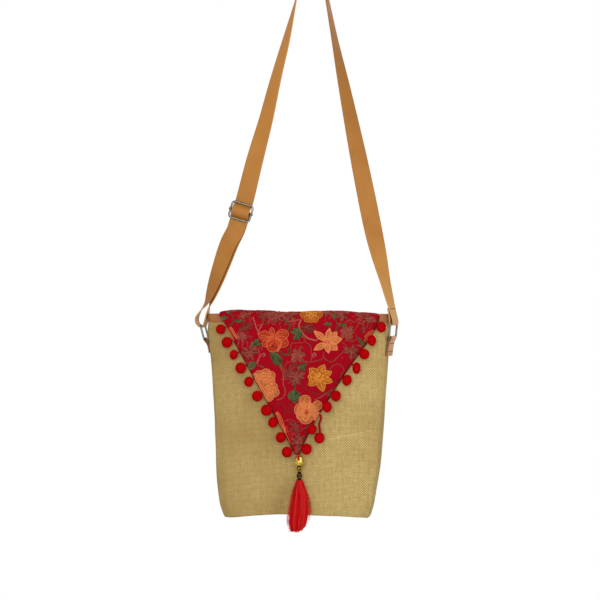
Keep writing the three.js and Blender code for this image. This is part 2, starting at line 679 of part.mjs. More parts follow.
function sideX(side, drop, out) {
  return MOUTH.x + side * (pouchSize(side < 0 ? 'left' : 'right', drop) + out);
}

// Where a ring's two bars cross the bag's middle plane.
function ringBars({ side, drop, lean, stand }) {
  const lower = new Vector3(sideX(side, drop, stand), 0, MOUTH.z - drop);
  const up = new Vector3(side * Math.sin(radians(lean)), 0, Math.cos(radians(lean)));
  return { lower, up, upper: lower.clone().addScaledVector(up, RING.tall) };
}

function addRing(row) {
  const { lower, up } = ringBars(row);
  const centre = lower.clone().addScaledVector(up, RING.tall / 2);
  const path = roundedPath(RING.inside + 2 * WIRE, RING.tall, RING.corner);
  const across = barWay(row);
  const rise = up.clone().addScaledVector(across, -up.dot(across)).normalize();
  add(`ring_${row.name}`, wireLoop(path, across, rise, centre), NICKEL);
}

// A leather tab folded round the ring's lower bar, its two layers sewn flat on the pouch's side.
function addTab(row) {
  const { lower } = ringBars(row);
  const bore = WIRE + GAP;
  const wrap = bore + TAB.thickness;
  const standAt = (drop) => row.side * (sideX(row.side, drop, row.tab.stand) - lower.x);
  const plate = 2 * TAB.thickness;
  const outline = new THREE.Shape();
  const bend = standAt(row.drop + TAB.bend);
  const foot = standAt(row.drop + row.tab.length);
  outline.moveTo(foot, -row.tab.length);
  outline.lineTo(bend, -TAB.bend);
  outline.lineTo(-wrap, 0);
  outline.absarc(0, 0, wrap, Math.PI, 0, true);
  outline.lineTo(bend + plate, -TAB.bend);
  outline.lineTo(foot + plate, -row.tab.length);
  outline.closePath();
  const eye = new THREE.Path();
  eye.absarc(0, 0, bore, 0, 2 * Math.PI, false);
  outline.holes.push(eye);
  const geometry = new THREE.ExtrudeGeometry(outline, {
    depth: TAB.width, steps: 1, bevelEnabled: false, curveSegments: 6,
  });
  geometry.translate(0, 0, -TAB.width / 2);
  const position = geometry.attributes.position;
  for (let i = 0; i < position.count; i += 1) {
    const down = THREE.MathUtils.smoothstep(-position.getY(i), TAB_NECK.from, TAB_NECK.to);
    const twist = radians(row.tab.twist) * down;
    const width = position.getZ(i) * THREE.MathUtils.lerp(1, TAB_NECK.share, down);
    const out = position.getX(i);
    position.setX(i, out * Math.cos(twist) - width * Math.sin(twist));
    position.setZ(i, width * Math.cos(twist) + out * Math.sin(twist));
  }
  geometry.rotateX(Math.PI / 2);
  if (row.side < 0) geometry.rotateZ(Math.PI);
  geometry.rotateZ(-radians(row.turn)).translate(lower.x, lower.y, lower.z);
  add(`tab_${row.name}`, geometry, BINDING_LEATHER);
}

// Slider: a wire frame with a middle bar, in line with the strap and facing the front.
const sliderUp = new Vector3(Math.sin(radians(SLIDER.tilt)), 0, Math.cos(radians(SLIDER.tilt)));
const sliderAcross = new Vector3(sliderUp.z, 0, -sliderUp.x);
const sliderCentre = new Vector3(SLIDER.x, 0, SLIDER.z);

function addSlider() {
  const wide = SLIDER.inside + 2 * WIRE;
  const outline = roundedPath(wide, 2 * SLIDER.bars, SLIDER.corner);
  const frame = wireLoop(outline, sliderAcross, sliderUp, sliderCentre);
  const bar = new THREE.CylinderGeometry(WIRE, WIRE, wide, WIRE_SIDES);
  bar.rotateZ(Math.PI / 2).rotateY(radians(SLIDER.tilt));
  bar.translate(sliderCentre.x, sliderCentre.y, sliderCentre.z);
  const lugs = [-1, 1].map((side) => {
    const lug = new THREE.CylinderGeometry(LUG.radius, LUG.radius, LUG.length, LUG.sides);
    lug.rotateX(Math.PI / 2).rotateY(radians(SLIDER.tilt));
    const place = sliderCentre.clone().addScaledVector(sliderAcross, (side * wide) / 2);
    return lug.translate(place.x, place.y, place.z);
  });
  add('slider', join(frame, bar, ...lugs), NICKEL);
}

// Strap. A row holds the middle of the band, the way its width points and the steps to the next row.
const strapRow = (point, width, steps) => ({ point, width, steps });
const level = (degrees) => new Vector3(Math.cos(radians(degrees)), Math.sin(radians(degrees)), 0);
const leftRow = ({ x, y, z, facing }) => strapRow(new Vector3(x, y, z), level(-facing), 2);
const rightRow = ({ x, y, z, facing }) => strapRow(new Vector3(x, y, z), level(facing - 180), 2);

function sliderRow({ along, out }) {
  const point = sliderCentre.clone().addScaledVector(sliderUp, along);
  point.y -= out;
  return strapRow(point, sliderAcross, 1);
}

// Rows round a bar, by the angle about it in the plane of the two directions.
function wrapRows(centre, first, second, angles, width) {
  const radius = WIRE + GAP + STRAP.thickness / 2;
  return angles.map((degrees) => strapRow(
    centre.clone()
      .addScaledVector(first, radius * Math.cos(radians(degrees)))
      .addScaledVector(second, radius * Math.sin(radians(degrees))),
    width,
    1,
  ));
}

function strapRows() {
  const xAxis = new Vector3(1, 0, 0);
  const zAxis = new Vector3(0, 0, 1);
  const front = new Vector3(0, -1, 0);
  const [left, right] = RING_SIDES.map(ringBars);
  const [leftWidth, rightWidth] = RING_SIDES.map((row) => barWay(row).negate());
  const over = PEG.radius + STRAP.thickness / 2;
  const peg = Array.from({ length: PEG.steps }, (_, i) => {
    const angle = radians(THREE.MathUtils.lerp(PEG.from, PEG.to, i / (PEG.steps - 1)));
    const point = new Vector3(over * Math.cos(angle), 0, over * Math.sin(angle) - PEG.radius);
    return strapRow(point, front, 1);
  });
  return [
    ...[...SLIDER_END].reverse().map(sliderRow),
    ...wrapRows(sliderCentre, sliderUp, front, [90, 45, 0, -45, -90], sliderAcross),
    ...[...SLIDER_LOOP].reverse().map(sliderRow),
    ...[...INNER_RUN].reverse().map(leftRow),
    ...wrapRows(left.upper, xAxis, zAxis, [0, -45, -90], leftWidth),
    ...[...OUTER_RUN].reverse().map(leftRow),
    ...[...SLIDER_MAIN].reverse().map(sliderRow),
    ...[...LEFT_LEG].reverse().map(leftRow),
    ...peg,
    ...RIGHT_LEG.map(rightRow),
    ...wrapRows(right.upper, xAxis, zAxis, [0, -45, -90, -135, -180], rightWidth),
    ...RIGHT_END.map(rightRow),
  ];
}

function strapGeometry() {
  const rows = strapRows();
  const curve = new THREE.CatmullRomCurve3(rows.map((row) => row.point), false, 'centripetal');
  const last = rows.length - 1;
  const sections = [];
  rows.forEach((row, i) => {
    const steps = i < last ? row.steps : 1;
    for (let k = 0; k < steps; k += 1) {
      const along = (i + k / steps) / last;
      const next = rows[Math.min(i + 1, last)];
      const tangent = curve.getTangent(along);
      const width = row.width.clone().lerp(next.width, k / steps);
      width.addScaledVector(tangent, -width.dot(tangent)).normalize();
      const out = new Vector3().crossVectors(width, tangent);
      const corner = (w, n) => curve.getPoint(along)
        .addScaledVector(width, (w * STRAP.width) / 2)
        .addScaledVector(out, (n * STRAP.thickness) / 2);
      sections.push([corner(-1, -1), corner(1, -1), corner(1, 1), corner(-1, 1)]);
    }
  });
  return loft(sections);
}

add('pouch', pouchGeometry(), JUTE_CLOTH);
add('mouth_binding', bindingGeometry(), BINDING_LEATHER);
add('flap', flapGeometry(), FLAP_CLOTH);
addPompoms('left');
addPompoms('right');
addTassel();
RING_SIDES.forEach(addRing);
RING_SIDES.forEach(addTab);
addSlider();
add('strap', strapGeometry(), LEATHER);

export default bag;
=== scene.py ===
import math
import random

import bmesh
import bpy
import numpy as np
from mathutils import Matrix, Vector, noise
from mathutils.bvhtree import BVHTree


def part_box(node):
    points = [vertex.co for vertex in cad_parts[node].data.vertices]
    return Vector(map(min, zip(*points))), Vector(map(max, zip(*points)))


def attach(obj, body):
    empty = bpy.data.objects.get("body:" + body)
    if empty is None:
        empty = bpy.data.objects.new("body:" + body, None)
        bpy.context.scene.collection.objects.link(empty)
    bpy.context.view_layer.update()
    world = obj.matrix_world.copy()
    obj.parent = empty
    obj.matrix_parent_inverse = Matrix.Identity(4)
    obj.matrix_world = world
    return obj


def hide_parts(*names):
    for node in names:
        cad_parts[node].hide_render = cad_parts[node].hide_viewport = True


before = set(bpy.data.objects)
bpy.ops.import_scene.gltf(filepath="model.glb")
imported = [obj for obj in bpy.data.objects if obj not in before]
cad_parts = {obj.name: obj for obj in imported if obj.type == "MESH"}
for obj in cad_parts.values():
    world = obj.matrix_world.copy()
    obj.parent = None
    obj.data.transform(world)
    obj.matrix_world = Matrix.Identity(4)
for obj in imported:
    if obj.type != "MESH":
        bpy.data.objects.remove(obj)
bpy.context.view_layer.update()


# Pouch
# The bag's body: panels of undyed jute, plain-woven from coarse yarn, sewn to a boxed base and turned
# right side out. It hangs empty, so the panels are slack and the base folds up in the middle.
MM = 0.001
MOUTH_Z = -482
JUTE_THREAD = 1.62 * MM  # such cloth has a thread every 1.5 mm; drawn a little coarser so that it shows
JUTE_WANDER = 0.5 * MM  # how far a thread strays from straight
# the third colour is both the aged cloth and painted shade on the left side
JUTE_PALE, JUTE_DEEP, JUTE_AGED_AND_SHADED, JUTE_GAP_SHADE = "#e8d08a", "#b0935a", "#a98a52", "#6f5529"
JUTE_PATCH = 70 * MM  # the cloth has aged in patches of about that size
SHADED_LEFT_SIDE = {"from": -0.14, "to": 0.06, "share": 0.42}  # and its left side is painted darker, as painted shade
SLACK = ((42 * MM, 1.1 * MM), (13 * MM, 0.3 * MM))  # size and depth of the panels' soft dents
BASE_BEND, CRISP_SHARE = math.radians(40), 0.95  # the seam round the base stays crisp
SIDE_SWELL = [  # at each height, how far the slack sides stand out on the left and the right
    (-760, 1.0, 1.2), (-735, 1.2, 2.2), (-700, 1.0, 1.4), (-660, 0.3, 1.2), (-600, 0.4, 0.6),
    (-540, 0.5, 0.9), (-520, 1.4, 0.4), (-503, 2.0, 0.2), (-497, 1.2, 0), (-491, 0, 0),
]
SWELL_LEFT, SWELL_RIGHT = (-85, -110), (55, 80)  # a swell grows from the first place across to the second
BASE_FALL = [  # how far the slack base hangs lower or higher than drawn, across the bag
    (-107, -3.6), (-91, -2.4), (-75, -1.4), (-58, -1.4), (-42, -2.4), (-12, -0.6), (14, 1.2), (38, 2.2),
    (54, 1.8), (70, 0.8), (80, -1.0),
]
BASE_SLACK = (-700, -748)  # that sag grows from the first height to the second
FOLD_LINE = {"from": (-20, -690), "to": (-44, -754)}  # the panel sinks along it, beside the tassel
FOLD_DEEP, FOLD_WIDE = 4.5, 9
SLUB = {"from": (21, -649.4), "to": (84, -636), "knots": 25, "pale": "#dfcd9a"}  # one thick pale thread
SLUB_THIN, SLUB_SWELL, SLUB_TAPER = 0.12, 0.22, 6  # its ends, what it swells by, and over how many knots
FAR = 300  # rays on to a surface start that far off


def mm(*place):
    """A place or way given in millimetres."""
    return Vector([value * MM for value in place])


def part_way(value, start, end):
    """How far a value has come from a start to an end, from 0 to 1."""
    return min(max((value - start) / (end - start), 0), 1)


def from_table(table, at, column=1):
    """A column of a table of sizes, at any place along its first column."""
    return float(np.interp(at, [row[0] for row in table], [row[column] for row in table]))


def linear(colour):
    parts = [int(colour[i:i + 2], 16) / 255 for i in (1, 3, 5)]
    return [p / 12.92 if p <= 0.04045 else ((p + 0.055) / 1.055) ** 2.4 for p in parts] + [1.0]


def node(tree, kind, inputs, **settings):
    """Adds a node with its settings, and sets its inputs or links them to other nodes."""
    made = tree.nodes.new("ShaderNode" + kind)
    for name, value in settings.items():
        setattr(made, name, value)
    for key, value in inputs.items():
        sockets = [s for s in made.inputs if s.enabled]
        socket = sockets[key] if isinstance(key, int) else next(s for s in sockets if s.name == key)
        if isinstance(value, bpy.types.Node):
            value = next(s for s in value.outputs if s.enabled)
        if isinstance(value, bpy.types.NodeSocket):
            tree.links.new(value, socket)
        else:
            socket.default_value = value
    return made


def new_material(name):
    material = bpy.data.materials.new(name)
    material.use_nodes = True
    material.node_tree.nodes.clear()
    return material, material.node_tree


def woven(tree, thread, wander):
    """A plain weave on the map of the cloth: its crowns, where the warp is on top, and a streak along each
    thread."""
    weave = node(tree, "UVMap", {}, uv_map="weave")
    drift = node(tree, "TexNoise", {"Vector": weave, "Scale": 1 / (14 * thread), "Detail": 2.0})
    bent = node(
        tree, "VectorMath", {0: drift.outputs["Color"], 1: (wander,) * 3, 2: weave}, operation="MULTIPLY_ADD"
    )
    split = node(tree, "SeparateXYZ", {0: bent})
    waves = []
    for axis in "XY":
        turn = node(tree, "Math", {0: split.outputs[axis], 1: math.pi / thread}, operation="MULTIPLY")
        waves.append(node(tree, "Math", {0: turn}, operation="SINE"))
    crossing = node(tree, "Math", {0: waves[0], 1: waves[1]}, operation="MULTIPLY")
    height = node(tree, "Math", {0: crossing}, operation="ABSOLUTE")
    crown = node(tree, "Math", {0: height, 1: 0.5}, operation="POWER")
    warp_up = node(tree, "MapRange", {"Value": crossing, "From Min": -0.3, "From Max": 0.3})
    streaks = []
    for stretch in ((0.16, 1.0, 1.0), (1.0, 0.16, 1.0)):
        along = node(tree, "VectorMath", {0: bent, 1: [s / thread for s in stretch]}, operation="MULTIPLY")
        streaks.append(
            node(tree, "TexNoise", {"Vector": along, "Scale": 0.9, "Detail": 3.0, "Roughness": 0.6})
        )
    streak = node(tree, "Mix", {"Factor": warp_up, "A": streaks[0], "B": streaks[1]})
    return crown, warp_up, streak


def copy_of(name):
    """A CAD node's mesh, its loose triangles merged and joined to four-sided faces."""
    bm = bmesh.new()
    bm.from_mesh(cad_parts[name].data)
    bmesh.ops.remove_doubles(bm, verts=bm.verts, dist=0.001 * MM)
    bmesh.ops.join_triangles(bm, faces=bm.faces, angle_face_threshold=1.2, angle_shape_threshold=1.6)
    return bm


def mesh_of(name, bm):
    mesh = bpy.data.meshes.new(name)
    bm.to_mesh(mesh)
    bm.free()
    return mesh


def set_out(name, data):
    """A new object of the scene."""
    made = bpy.data.objects.new(name, data)
    bpy.context.scene.collection.objects.link(made)
    return made


def rounded(bm, levels, crisp=None):
    """The shape under a subdivision surface, which keeps edges that bend more than the crisp angle."""
    if crisp:
        crease = bm.edges.layers.float.new("crease_edge")
        for edge in bm.edges:
            if edge.calc_face_angle(0) > crisp:
                edge[crease] = CRISP_SHARE
    mesh = mesh_of("cage", bm)
    cage = set_out("cage", mesh)
    surface = cage.modifiers.new("surface", "SUBSURF")
    surface.levels = surface.render_levels = levels
    smooth = bmesh.new()
    smooth.from_object(cage, bpy.context.evaluated_depsgraph_get())
    bpy.data.objects.remove(cage)
    bpy.data.meshes.remove(mesh)
    return smooth


def lay_weave(bm):
    """The map of a cloth, in metres, from the way each face looks."""
    weave = bm.loops.layers.uv.new("weave")
    bm.normal_update()
    for face in bm.faces:
        across, up = ((1, 2), (0, 2), (0, 1))[max(range(3), key=lambda i: abs(face.normal[i]))]
        for loop in face.loops:
            loop[weave].uv = (loop.vert.co[across], loop.vert.co[up])


def add_piece(name, shape, materials, slot, *nodes):
    """A finished mesh as a piece of the bag that stands for those CAD nodes."""
    mesh = mesh_of(name, shape) if isinstance(shape, bmesh.types.BMesh) else shape
    for material in materials:
        mesh.materials.append(material)
    mesh.shade_smooth()
    piece = set_out(name, mesh)
    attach(piece, "root")
    if nodes:
        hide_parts(*nodes)
    return piece


def spun_thread(name, colour, deep, strand, rough, shine):
    """Spun or twisted thread: fine strands that catch the light one by one."""
    material, tree = new_material(name)
    place = node(tree, "TexCoord", {}).outputs["Object"]
    strands = node(tree, "TexNoise", {"Vector": place, "Scale": 1 / strand, "Detail": 3.0, "Roughness": 0.65})
    share = node(tree, "MapRange", {"Value": strands, "From Min": 0.35, "From Max": 0.65})
    dyed = node(tree, "Mix", {"Factor": share, "A": linear(deep), "B": linear(colour)}, data_type="RGBA")
    bump = node(tree, "Bump", {"Height": strands, "Distance": 0.3 * strand, "Strength": 0.8})
    shader = node(tree, "BsdfPrincipled", {
        "Base Color": dyed, "Roughness": rough, "Normal": bump, "Specular IOR Level": shine,
    })
    node(tree, "OutputMaterial", {"Surface": shader})
    return material


def thread_lines(name, materials):
    lines = bpy.data.curves.new(name, "CURVE")
    for material in materials:
        lines.materials.append(material)
    lines.dimensions = "3D"
    lines.bevel_depth = MM
    lines.bevel_resolution = 1
    lines.use_fill_caps = True
    return lines


def add_line(lines, points, width, tone=0):
    """One thread through the points. Its half width in mm is one number, or one for each point."""
    widths = width if isinstance(width, list) else [width] * len(points)
    line = lines.splines.new("POLY")
    line.points.add(len(points) - 1)
    for knot, point, radius in zip(line.points, points, widths):
        knot.co = (*point, 1)
        knot.radius = radius
    line.material_index = tone


def add_threads(lines, slot, *nodes):
    """Lines of thread as a piece made of closed tubes."""
    spool = bpy.data.objects.new(lines.name, lines)
    mesh = bpy.data.meshes.new_from_object(spool)
    bpy.data.objects.remove(spool)
    bm = bmesh.new()
    bm.from_mesh(mesh)
    bmesh.ops.recalc_face_normals(bm, faces=bm.faces)
    bm.to_mesh(mesh)
    bm.free()
    add_piece(lines.name, mesh, [], slot, *nodes)


# Jute: a dull, hairy bast fibre. Its yarn is uneven, so each thread has its own tone and thickness.
jute, tree = new_material("plain_woven_jute")
crown, warp_up, streak = woven(tree, JUTE_THREAD, JUTE_WANDER)
lit = node(tree, "Math", {0: warp_up, 1: 0.32, 2: streak}, operation="MULTIPLY_ADD")
tone = node(tree, "MapRange", {"Value": lit, "From Min": 0.45, "From Max": 0.89})
yarn = node(tree, "Mix", {"Factor": tone, "A": linear(JUTE_DEEP), "B": linear(JUTE_PALE)}, data_type="RGBA")
place = node(tree, "TexCoord", {}).outputs["Object"]
patch = node(tree, "TexNoise", {"Vector": place, "Scale": 1 / JUTE_PATCH, "Detail": 3.0})
faded = node(tree, "MapRange", {"Value": patch, "From Min": 0.4, "From Max": 0.75, "To Max": 0.55})
# Painted shade: towards the left the cloth is mixed further towards the old colour, on top of the aged
# patches.
from_left = node(tree, "SeparateXYZ", {0: place}).outputs["X"]
darker_tone = node(tree, "MapRange", {
    "Value": from_left, "From Min": SHADED_LEFT_SIDE["from"], "From Max": SHADED_LEFT_SIDE["to"],
    "To Min": SHADED_LEFT_SIDE["share"], "To Max": 0.0,
})
tone_mask = node(tree, "Math", {0: faded, 1: darker_tone}, operation="ADD", use_clamp=True)
aged_and_shaded = node(tree, "Mix", {"Factor": tone_mask, "A": yarn, "B": linear(JUTE_AGED_AND_SHADED)}, data_type="RGBA")
# Painted shade: where the threads sink, between the crowns, the cloth is darker.
gap = node(tree, "MapRange", {"Value": crown, "From Min": 0.1, "From Max": 0.75, "To Min": 0.25})
cloth = node(tree, "Mix", {"Factor": gap, "A": linear(JUTE_GAP_SHADE), "B": aged_and_shaded}, data_type="RGBA")
relief = node(tree, "Math", {0: streak, 1: 0.5, 2: crown}, operation="MULTIPLY_ADD")
bump = node(tree, "Bump", {"Height": relief, "Distance": 0.45 * MM, "Strength": 0.9})
shader = node(tree, "BsdfPrincipled", {
    "Base Color": cloth, "Roughness": 0.95, "Normal": bump, "Specular IOR Level": 0.1,
})
node(tree, "OutputMaterial", {"Surface": shader})

bm = rounded(copy_of("pouch"), 2, BASE_BEND)
(fold_x, fold_z), (foot_x, foot_z) = FOLD_LINE["from"], FOLD_LINE["to"]
for vert in bm.verts:
    for size, depth in SLACK:
        vert.co.y += depth * noise.noise(vert.co / size)
        vert.co.x += 0.5 * depth * noise.noise(vert.co / size + Vector((7, 3, 1)))
    x, z = vert.co.x / MM, vert.co.z / MM
    vert.co.x -= part_way(x, *SWELL_LEFT) * from_table(SIDE_SWELL, z, 1) * MM
    vert.co.x += part_way(x, *SWELL_RIGHT) * from_table(SIDE_SWELL, z, 2) * MM
    vert.co.z += part_way(z, *BASE_SLACK) * from_table(BASE_FALL, vert.co.x / MM) * MM
    down = (vert.co.z / MM - fold_z) / (foot_z - fold_z)
    if vert.co.y < 0 and down > 0:
        apart = (vert.co.x / MM - fold_x - (foot_x - fold_x) * down) / FOLD_WIDE
        vert.co.y += FOLD_DEEP * MM * min(down, 1) * math.exp(-apart * apart)
lay_weave(bm)
jute_tree = BVHTree.FromBMesh(bm)
add_piece("pouch_jute", bm, [jute], "jute_cloth", "pouch")

slub_yarn = spun_thread("thick_jute_thread", SLUB["pale"], JUTE_PALE, 1.2 * MM, 0.95, 0.1)
slub = thread_lines("pouch_slub_thread", [slub_yarn])
points, widths, last = [], [], SLUB["knots"] - 1
for i in range(SLUB["knots"]):
    x, z = (a + (b - a) * i / last for a, b in zip(SLUB["from"], SLUB["to"]))
    stray = 0.5 * noise.noise(Vector((x / 12, 0, 0)))
    spot, out, _, _ = jute_tree.ray_cast(mm(x, -FAR, z + stray), Vector((0, 1, 0)))
    points.append(spot + out * 0.1 * MM)
    widths.append(SLUB_THIN + SLUB_SWELL * min(1, i / SLUB_TAPER, (last - i) / SLUB_TAPER))
add_line(slub, points, widths)
add_threads(slub, "jute_cloth")


# Mouth binding
# A strip of tan split leather folded over the raw edge of the mouth and sewn through with one row of
# thread near its lower edge.
BINDING_TAN, BINDING_DEEP = "#a5683a", "#82502b"
DYE_CLOUD, PEBBLE, PORE = 16 * MM, 1.1 * MM, 0.5 * MM  # patches of dye, and the grain of the leather
CUT_EDGE = 1.4 * MM  # how far in a cut edge is dark
STITCH = {"long": 3.2 * MM, "thick": 0.42 * MM, "pitch": 4.4 * MM}
BINDING_SEAM_Z, SEAM_STEPS = -490.4, 720
THREAD_TAN = "#c79a66"


def leather(name, colour, deep, gloss, cut=None):
    """Vegetable-tanned split leather: a fine pebbled grain, cloudy dye and a low waxed sheen. The edges of a
    band, cut that far from its middle, are darker."""
    material, tree = new_material(name)
    place = node(tree, "TexCoord", {}).outputs["Object"]
    cloud = node(tree, "TexNoise", {"Vector": place, "Scale": 1 / DYE_CLOUD, "Detail": 4.0, "Roughness": 0.6})
    dye = node(tree, "MapRange", {"Value": cloud, "From Min": 0.35, "From Max": 0.7})
    grain = node(tree, "TexVoronoi", {"Vector": place, "Scale": 1 / PEBBLE}, feature="SMOOTH_F1")
    fine = node(tree, "TexNoise", {"Vector": place, "Scale": 1 / PORE, "Detail": 2.0})
    pores = node(tree, "Math", {0: fine, 1: 0.35, 2: grain}, operation="MULTIPLY_ADD")
    tone_mask = node(tree, "Math", {0: pores, 1: -0.25, 2: dye}, operation="MULTIPLY_ADD", use_clamp=True)
    skin = node(tree, "Mix", {"Factor": tone_mask, "A": linear(colour), "B": linear(deep)}, data_type="RGBA")
    if cut:
        from_middle = node(tree, "SeparateXYZ", {0: node(tree, "UVMap", {}, uv_map="band")}).outputs["X"]
        apart = node(tree, "Math", {0: from_middle}, operation="ABSOLUTE")
        edge = node(tree, "MapRange", {
            "Value": apart, "From Min": cut - CUT_EDGE, "From Max": cut, "To Max": 0.9,
        })
        skin = node(tree, "Mix", {"Factor": edge, "A": skin, "B": linear(BINDING_DEEP)}, data_type="RGBA")
    bump = node(tree, "Bump", {"Height": pores, "Distance": 0.12 * MM, "Strength": 0.7}, invert=True)
    rough = node(tree, "MapRange", {"Value": cloud, "To Min": gloss - 0.08, "To Max": gloss + 0.08})
    shader = node(tree, "BsdfPrincipled", {
        "Base Color": skin, "Roughness": rough, "Normal": bump, "Specular IOR Level": 0.25,
    })
    node(tree, "OutputMaterial", {"Surface": shader})
    return material


def sew(bm, points, outs, stitch):
    """Stitches laid along a line of points, each half sunk in the face that they hold."""
    gone = stitch["pitch"] / 2
    for (here, there), out in zip(zip(points, points[1:]), outs):
        span = (there - here).length
        while gone < span:
            along = (there - here).normalized()
            side = out.cross(along).normalized()
            turn = Matrix((along, side, along.cross(side))).transposed().to_4x4()
            size = Matrix.Diagonal((stitch["long"] / 2, stitch["thick"], stitch["thick"], 1))
            where = Matrix.Translation(here + along * gone + out * 0.4 * stitch["thick"])
            bmesh.ops.create_uvsphere(bm, u_segments=4, v_segments=6, radius=1, matrix=where @ turn @ size)
            gone += stitch["pitch"]
        gone -= span


binding_leather = leather("tan_split_leather", BINDING_TAN, BINDING_DEEP, 0.5)
linen = spun_thread("waxed_linen_thread", THREAD_TAN, BINDING_DEEP, 0.6 * MM, 0.6, 0.2)
bm = rounded(copy_of("mouth_binding"), 2)
binding_tree = BVHTree.FromBMesh(bm)
add_piece("mouth_binding_leather", bm, [binding_leather], "binding_leather", "mouth_binding")

low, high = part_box("mouth_binding")
middle = Vector(((low.x + high.x) / 2, 0, BINDING_SEAM_Z * MM))
seam, outs = [], []
for i in range(SEAM_STEPS + 1):
    turn = 2 * math.pi * i / SEAM_STEPS
    way = Vector((math.cos(turn), math.sin(turn), 0))
    point, out, _, _ = binding_tree.ray_cast(middle + way, -way)
    seam.append(point)
    outs.append(out)
bm = bmesh.new()
sew(bm, seam, outs, STITCH)
add_piece("mouth_binding_stitches", bm, [linen], "binding_leather")


# Flap
# A pointed piece of red cotton sewn to the back panel, folded over the mouth and down the front. Its two
# long edges are turned under and hemmed, and the embroidery stiffens it.
FLAP_RED, FLAP_DEEP, FLAP_HOLLOW_SHADE = "#ad051b", "#930416", "#710310"
FLAP_THREAD = 0.95 * MM  # the cotton has a thread every 0.4 mm; drawn coarser so that it shows
FLAP_WANDER = 0.2 * MM
FLAP_SLACK = {"size": 24 * MM, "deep": 0.45 * MM, "below": 6}  # soft dents in front, that far below the fold
FOLD_FALL = [  # how far the fold over the mouth sags, across the bag
    (-110, 1.0), (-60, 1.2), (-40, 0.9), (-20, 1.3), (5, 1.8), (30, 1.2), (50, 0.8), (65, 1.6), (80, 2.2),
    (105, 2.0),
]
FOLD_SOFT = 14  # and over what height
CORNER = {"from": -100, "to": -118, "wide": 2.2}  # the left corner reaches further out
FOLD = {"from": 3, "front": -19, "top": 5, "back": 19}  # the way over the mouth, below it and across it
FACING = 0.35  # a face that looks less than this along a ray is round the edge
# The hem's roll is real; its red, darker than the cloth's, is painted shade along the flap's edges.
HEM = {"thick": 0.85, "in": 0.35, "knots": 70, "red": "#74190f", "deep": "#4c0d08"}
HEM_TOP, HEM_FOOT = 1, 2  # it starts below the mouth and ends above the flap's point
FLAP_POINT_X = -17.0
EDGE_SEARCH = 18  # halvings that find the cloth's edge


def on_flap(x, drop):
    """The flap's face at a place, and the way out from it, or nothing past its edge."""
    axis = mm(x, 0, MOUTH_Z - FOLD["from"])
    rise = FOLD["from"] - drop
    over = FOLD["back"] - FOLD["front"] + 2 * FOLD["top"]
    if rise <= 0:
        start, way = mm(0, -FAR, rise), Vector((0, 1, 0))
    elif rise < over:
        y = min(max(rise - FOLD["top"] + FOLD["front"], FOLD["front"]), FOLD["back"])
        way = -Vector((0, y, min(rise, FOLD["top"], over - rise))).normalized()
        start = way * (-FAR * MM)
    else:
        start, way = mm(0, FAR, over - rise), Vector((0, -1, 0))
    point, out, _, _ = flap_tree.ray_cast(axis + start, way)
    return None if point is None or out.dot(way) > -FACING else (point, out)


# Cotton: a fine even weave, matt, with a faint bloom at grazing light.
cotton, tree = new_material("red_cotton_cloth")
crown, _, streak = woven(tree, FLAP_THREAD, FLAP_WANDER)
tone = node(tree, "MapRange", {"Value": streak, "From Min": 0.3, "From Max": 0.7})
dyed = node(tree, "Mix", {"Factor": tone, "A": linear(FLAP_DEEP), "B": linear(FLAP_RED)}, data_type="RGBA")
# Painted shade: where the threads sink, between the crowns, the cotton is darker.
gap = node(tree, "MapRange", {"Value": crown, "From Min": 0.1, "From Max": 0.7, "To Min": 0.45})
cloth = node(tree, "Mix", {"Factor": gap, "A": linear(FLAP_HOLLOW_SHADE), "B": dyed}, data_type="RGBA")
bump = node(tree, "Bump", {"Height": crown, "Distance": 0.16 * MM, "Strength": 0.7})
shader = node(tree, "BsdfPrincipled", {
    "Base Color": cloth, "Roughness": 0.85, "Normal": bump, "Specular IOR Level": 0.05,
})
node(tree, "OutputMaterial", {"Surface": shader})

bm = rounded(copy_of("flap"), 2)
for vert in bm.verts:
    if vert.co.y < 0 and vert.co.z < (MOUTH_Z - FLAP_SLACK["below"]) * MM:
        vert.co.y += FLAP_SLACK["deep"] * noise.noise(vert.co / FLAP_SLACK["size"])
    folded = part_way(vert.co.z / MM, MOUTH_Z - FOLD_SOFT, MOUTH_Z)
    vert.co.z -= folded * from_table(FOLD_FALL, vert.co.x / MM) * MM
    vert.co.x -= folded * part_way(vert.co.x / MM, CORNER["from"], CORNER["to"]) * CORNER["wide"] * MM
lay_weave(bm)
flap_tree = BVHTree.FromBMesh(bm)
flap = add_piece("flap_cloth", bm, [cotton], "flap_cloth", "flap")

# the hem thread in that darker red: painted shade
hem_cotton_painted_shade = spun_thread("hem_cotton_painted_shade", HEM["red"], HEM["deep"], 1.2 * MM, 0.8, 0.05)
hems = thread_lines("flap_hems", [hem_cotton_painted_shade])
low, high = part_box("flap")
fall = MOUTH_Z - low.z / MM
for outer in (low.x / MM - 2, high.x / MM + 2):
    points = []
    for i in range(HEM["knots"]):
        drop = HEM_TOP + (fall - HEM_TOP - HEM_FOOT) * i / (HEM["knots"] - 1)
        inner = FLAP_POINT_X * drop / fall
        if not on_flap(inner, drop):
            continue
        on, off = inner, outer
        for _ in range(EDGE_SEARCH):
            half = (on + off) / 2
            on, off = (half, off) if on_flap(half, drop) else (on, half)
        edge = on_flap(on - math.copysign(HEM["in"], outer - inner), drop)
        if edge:
            points.append(edge[0])
    add_line(hems, points, HEM["thick"])
add_threads(hems, "flap_cloth")


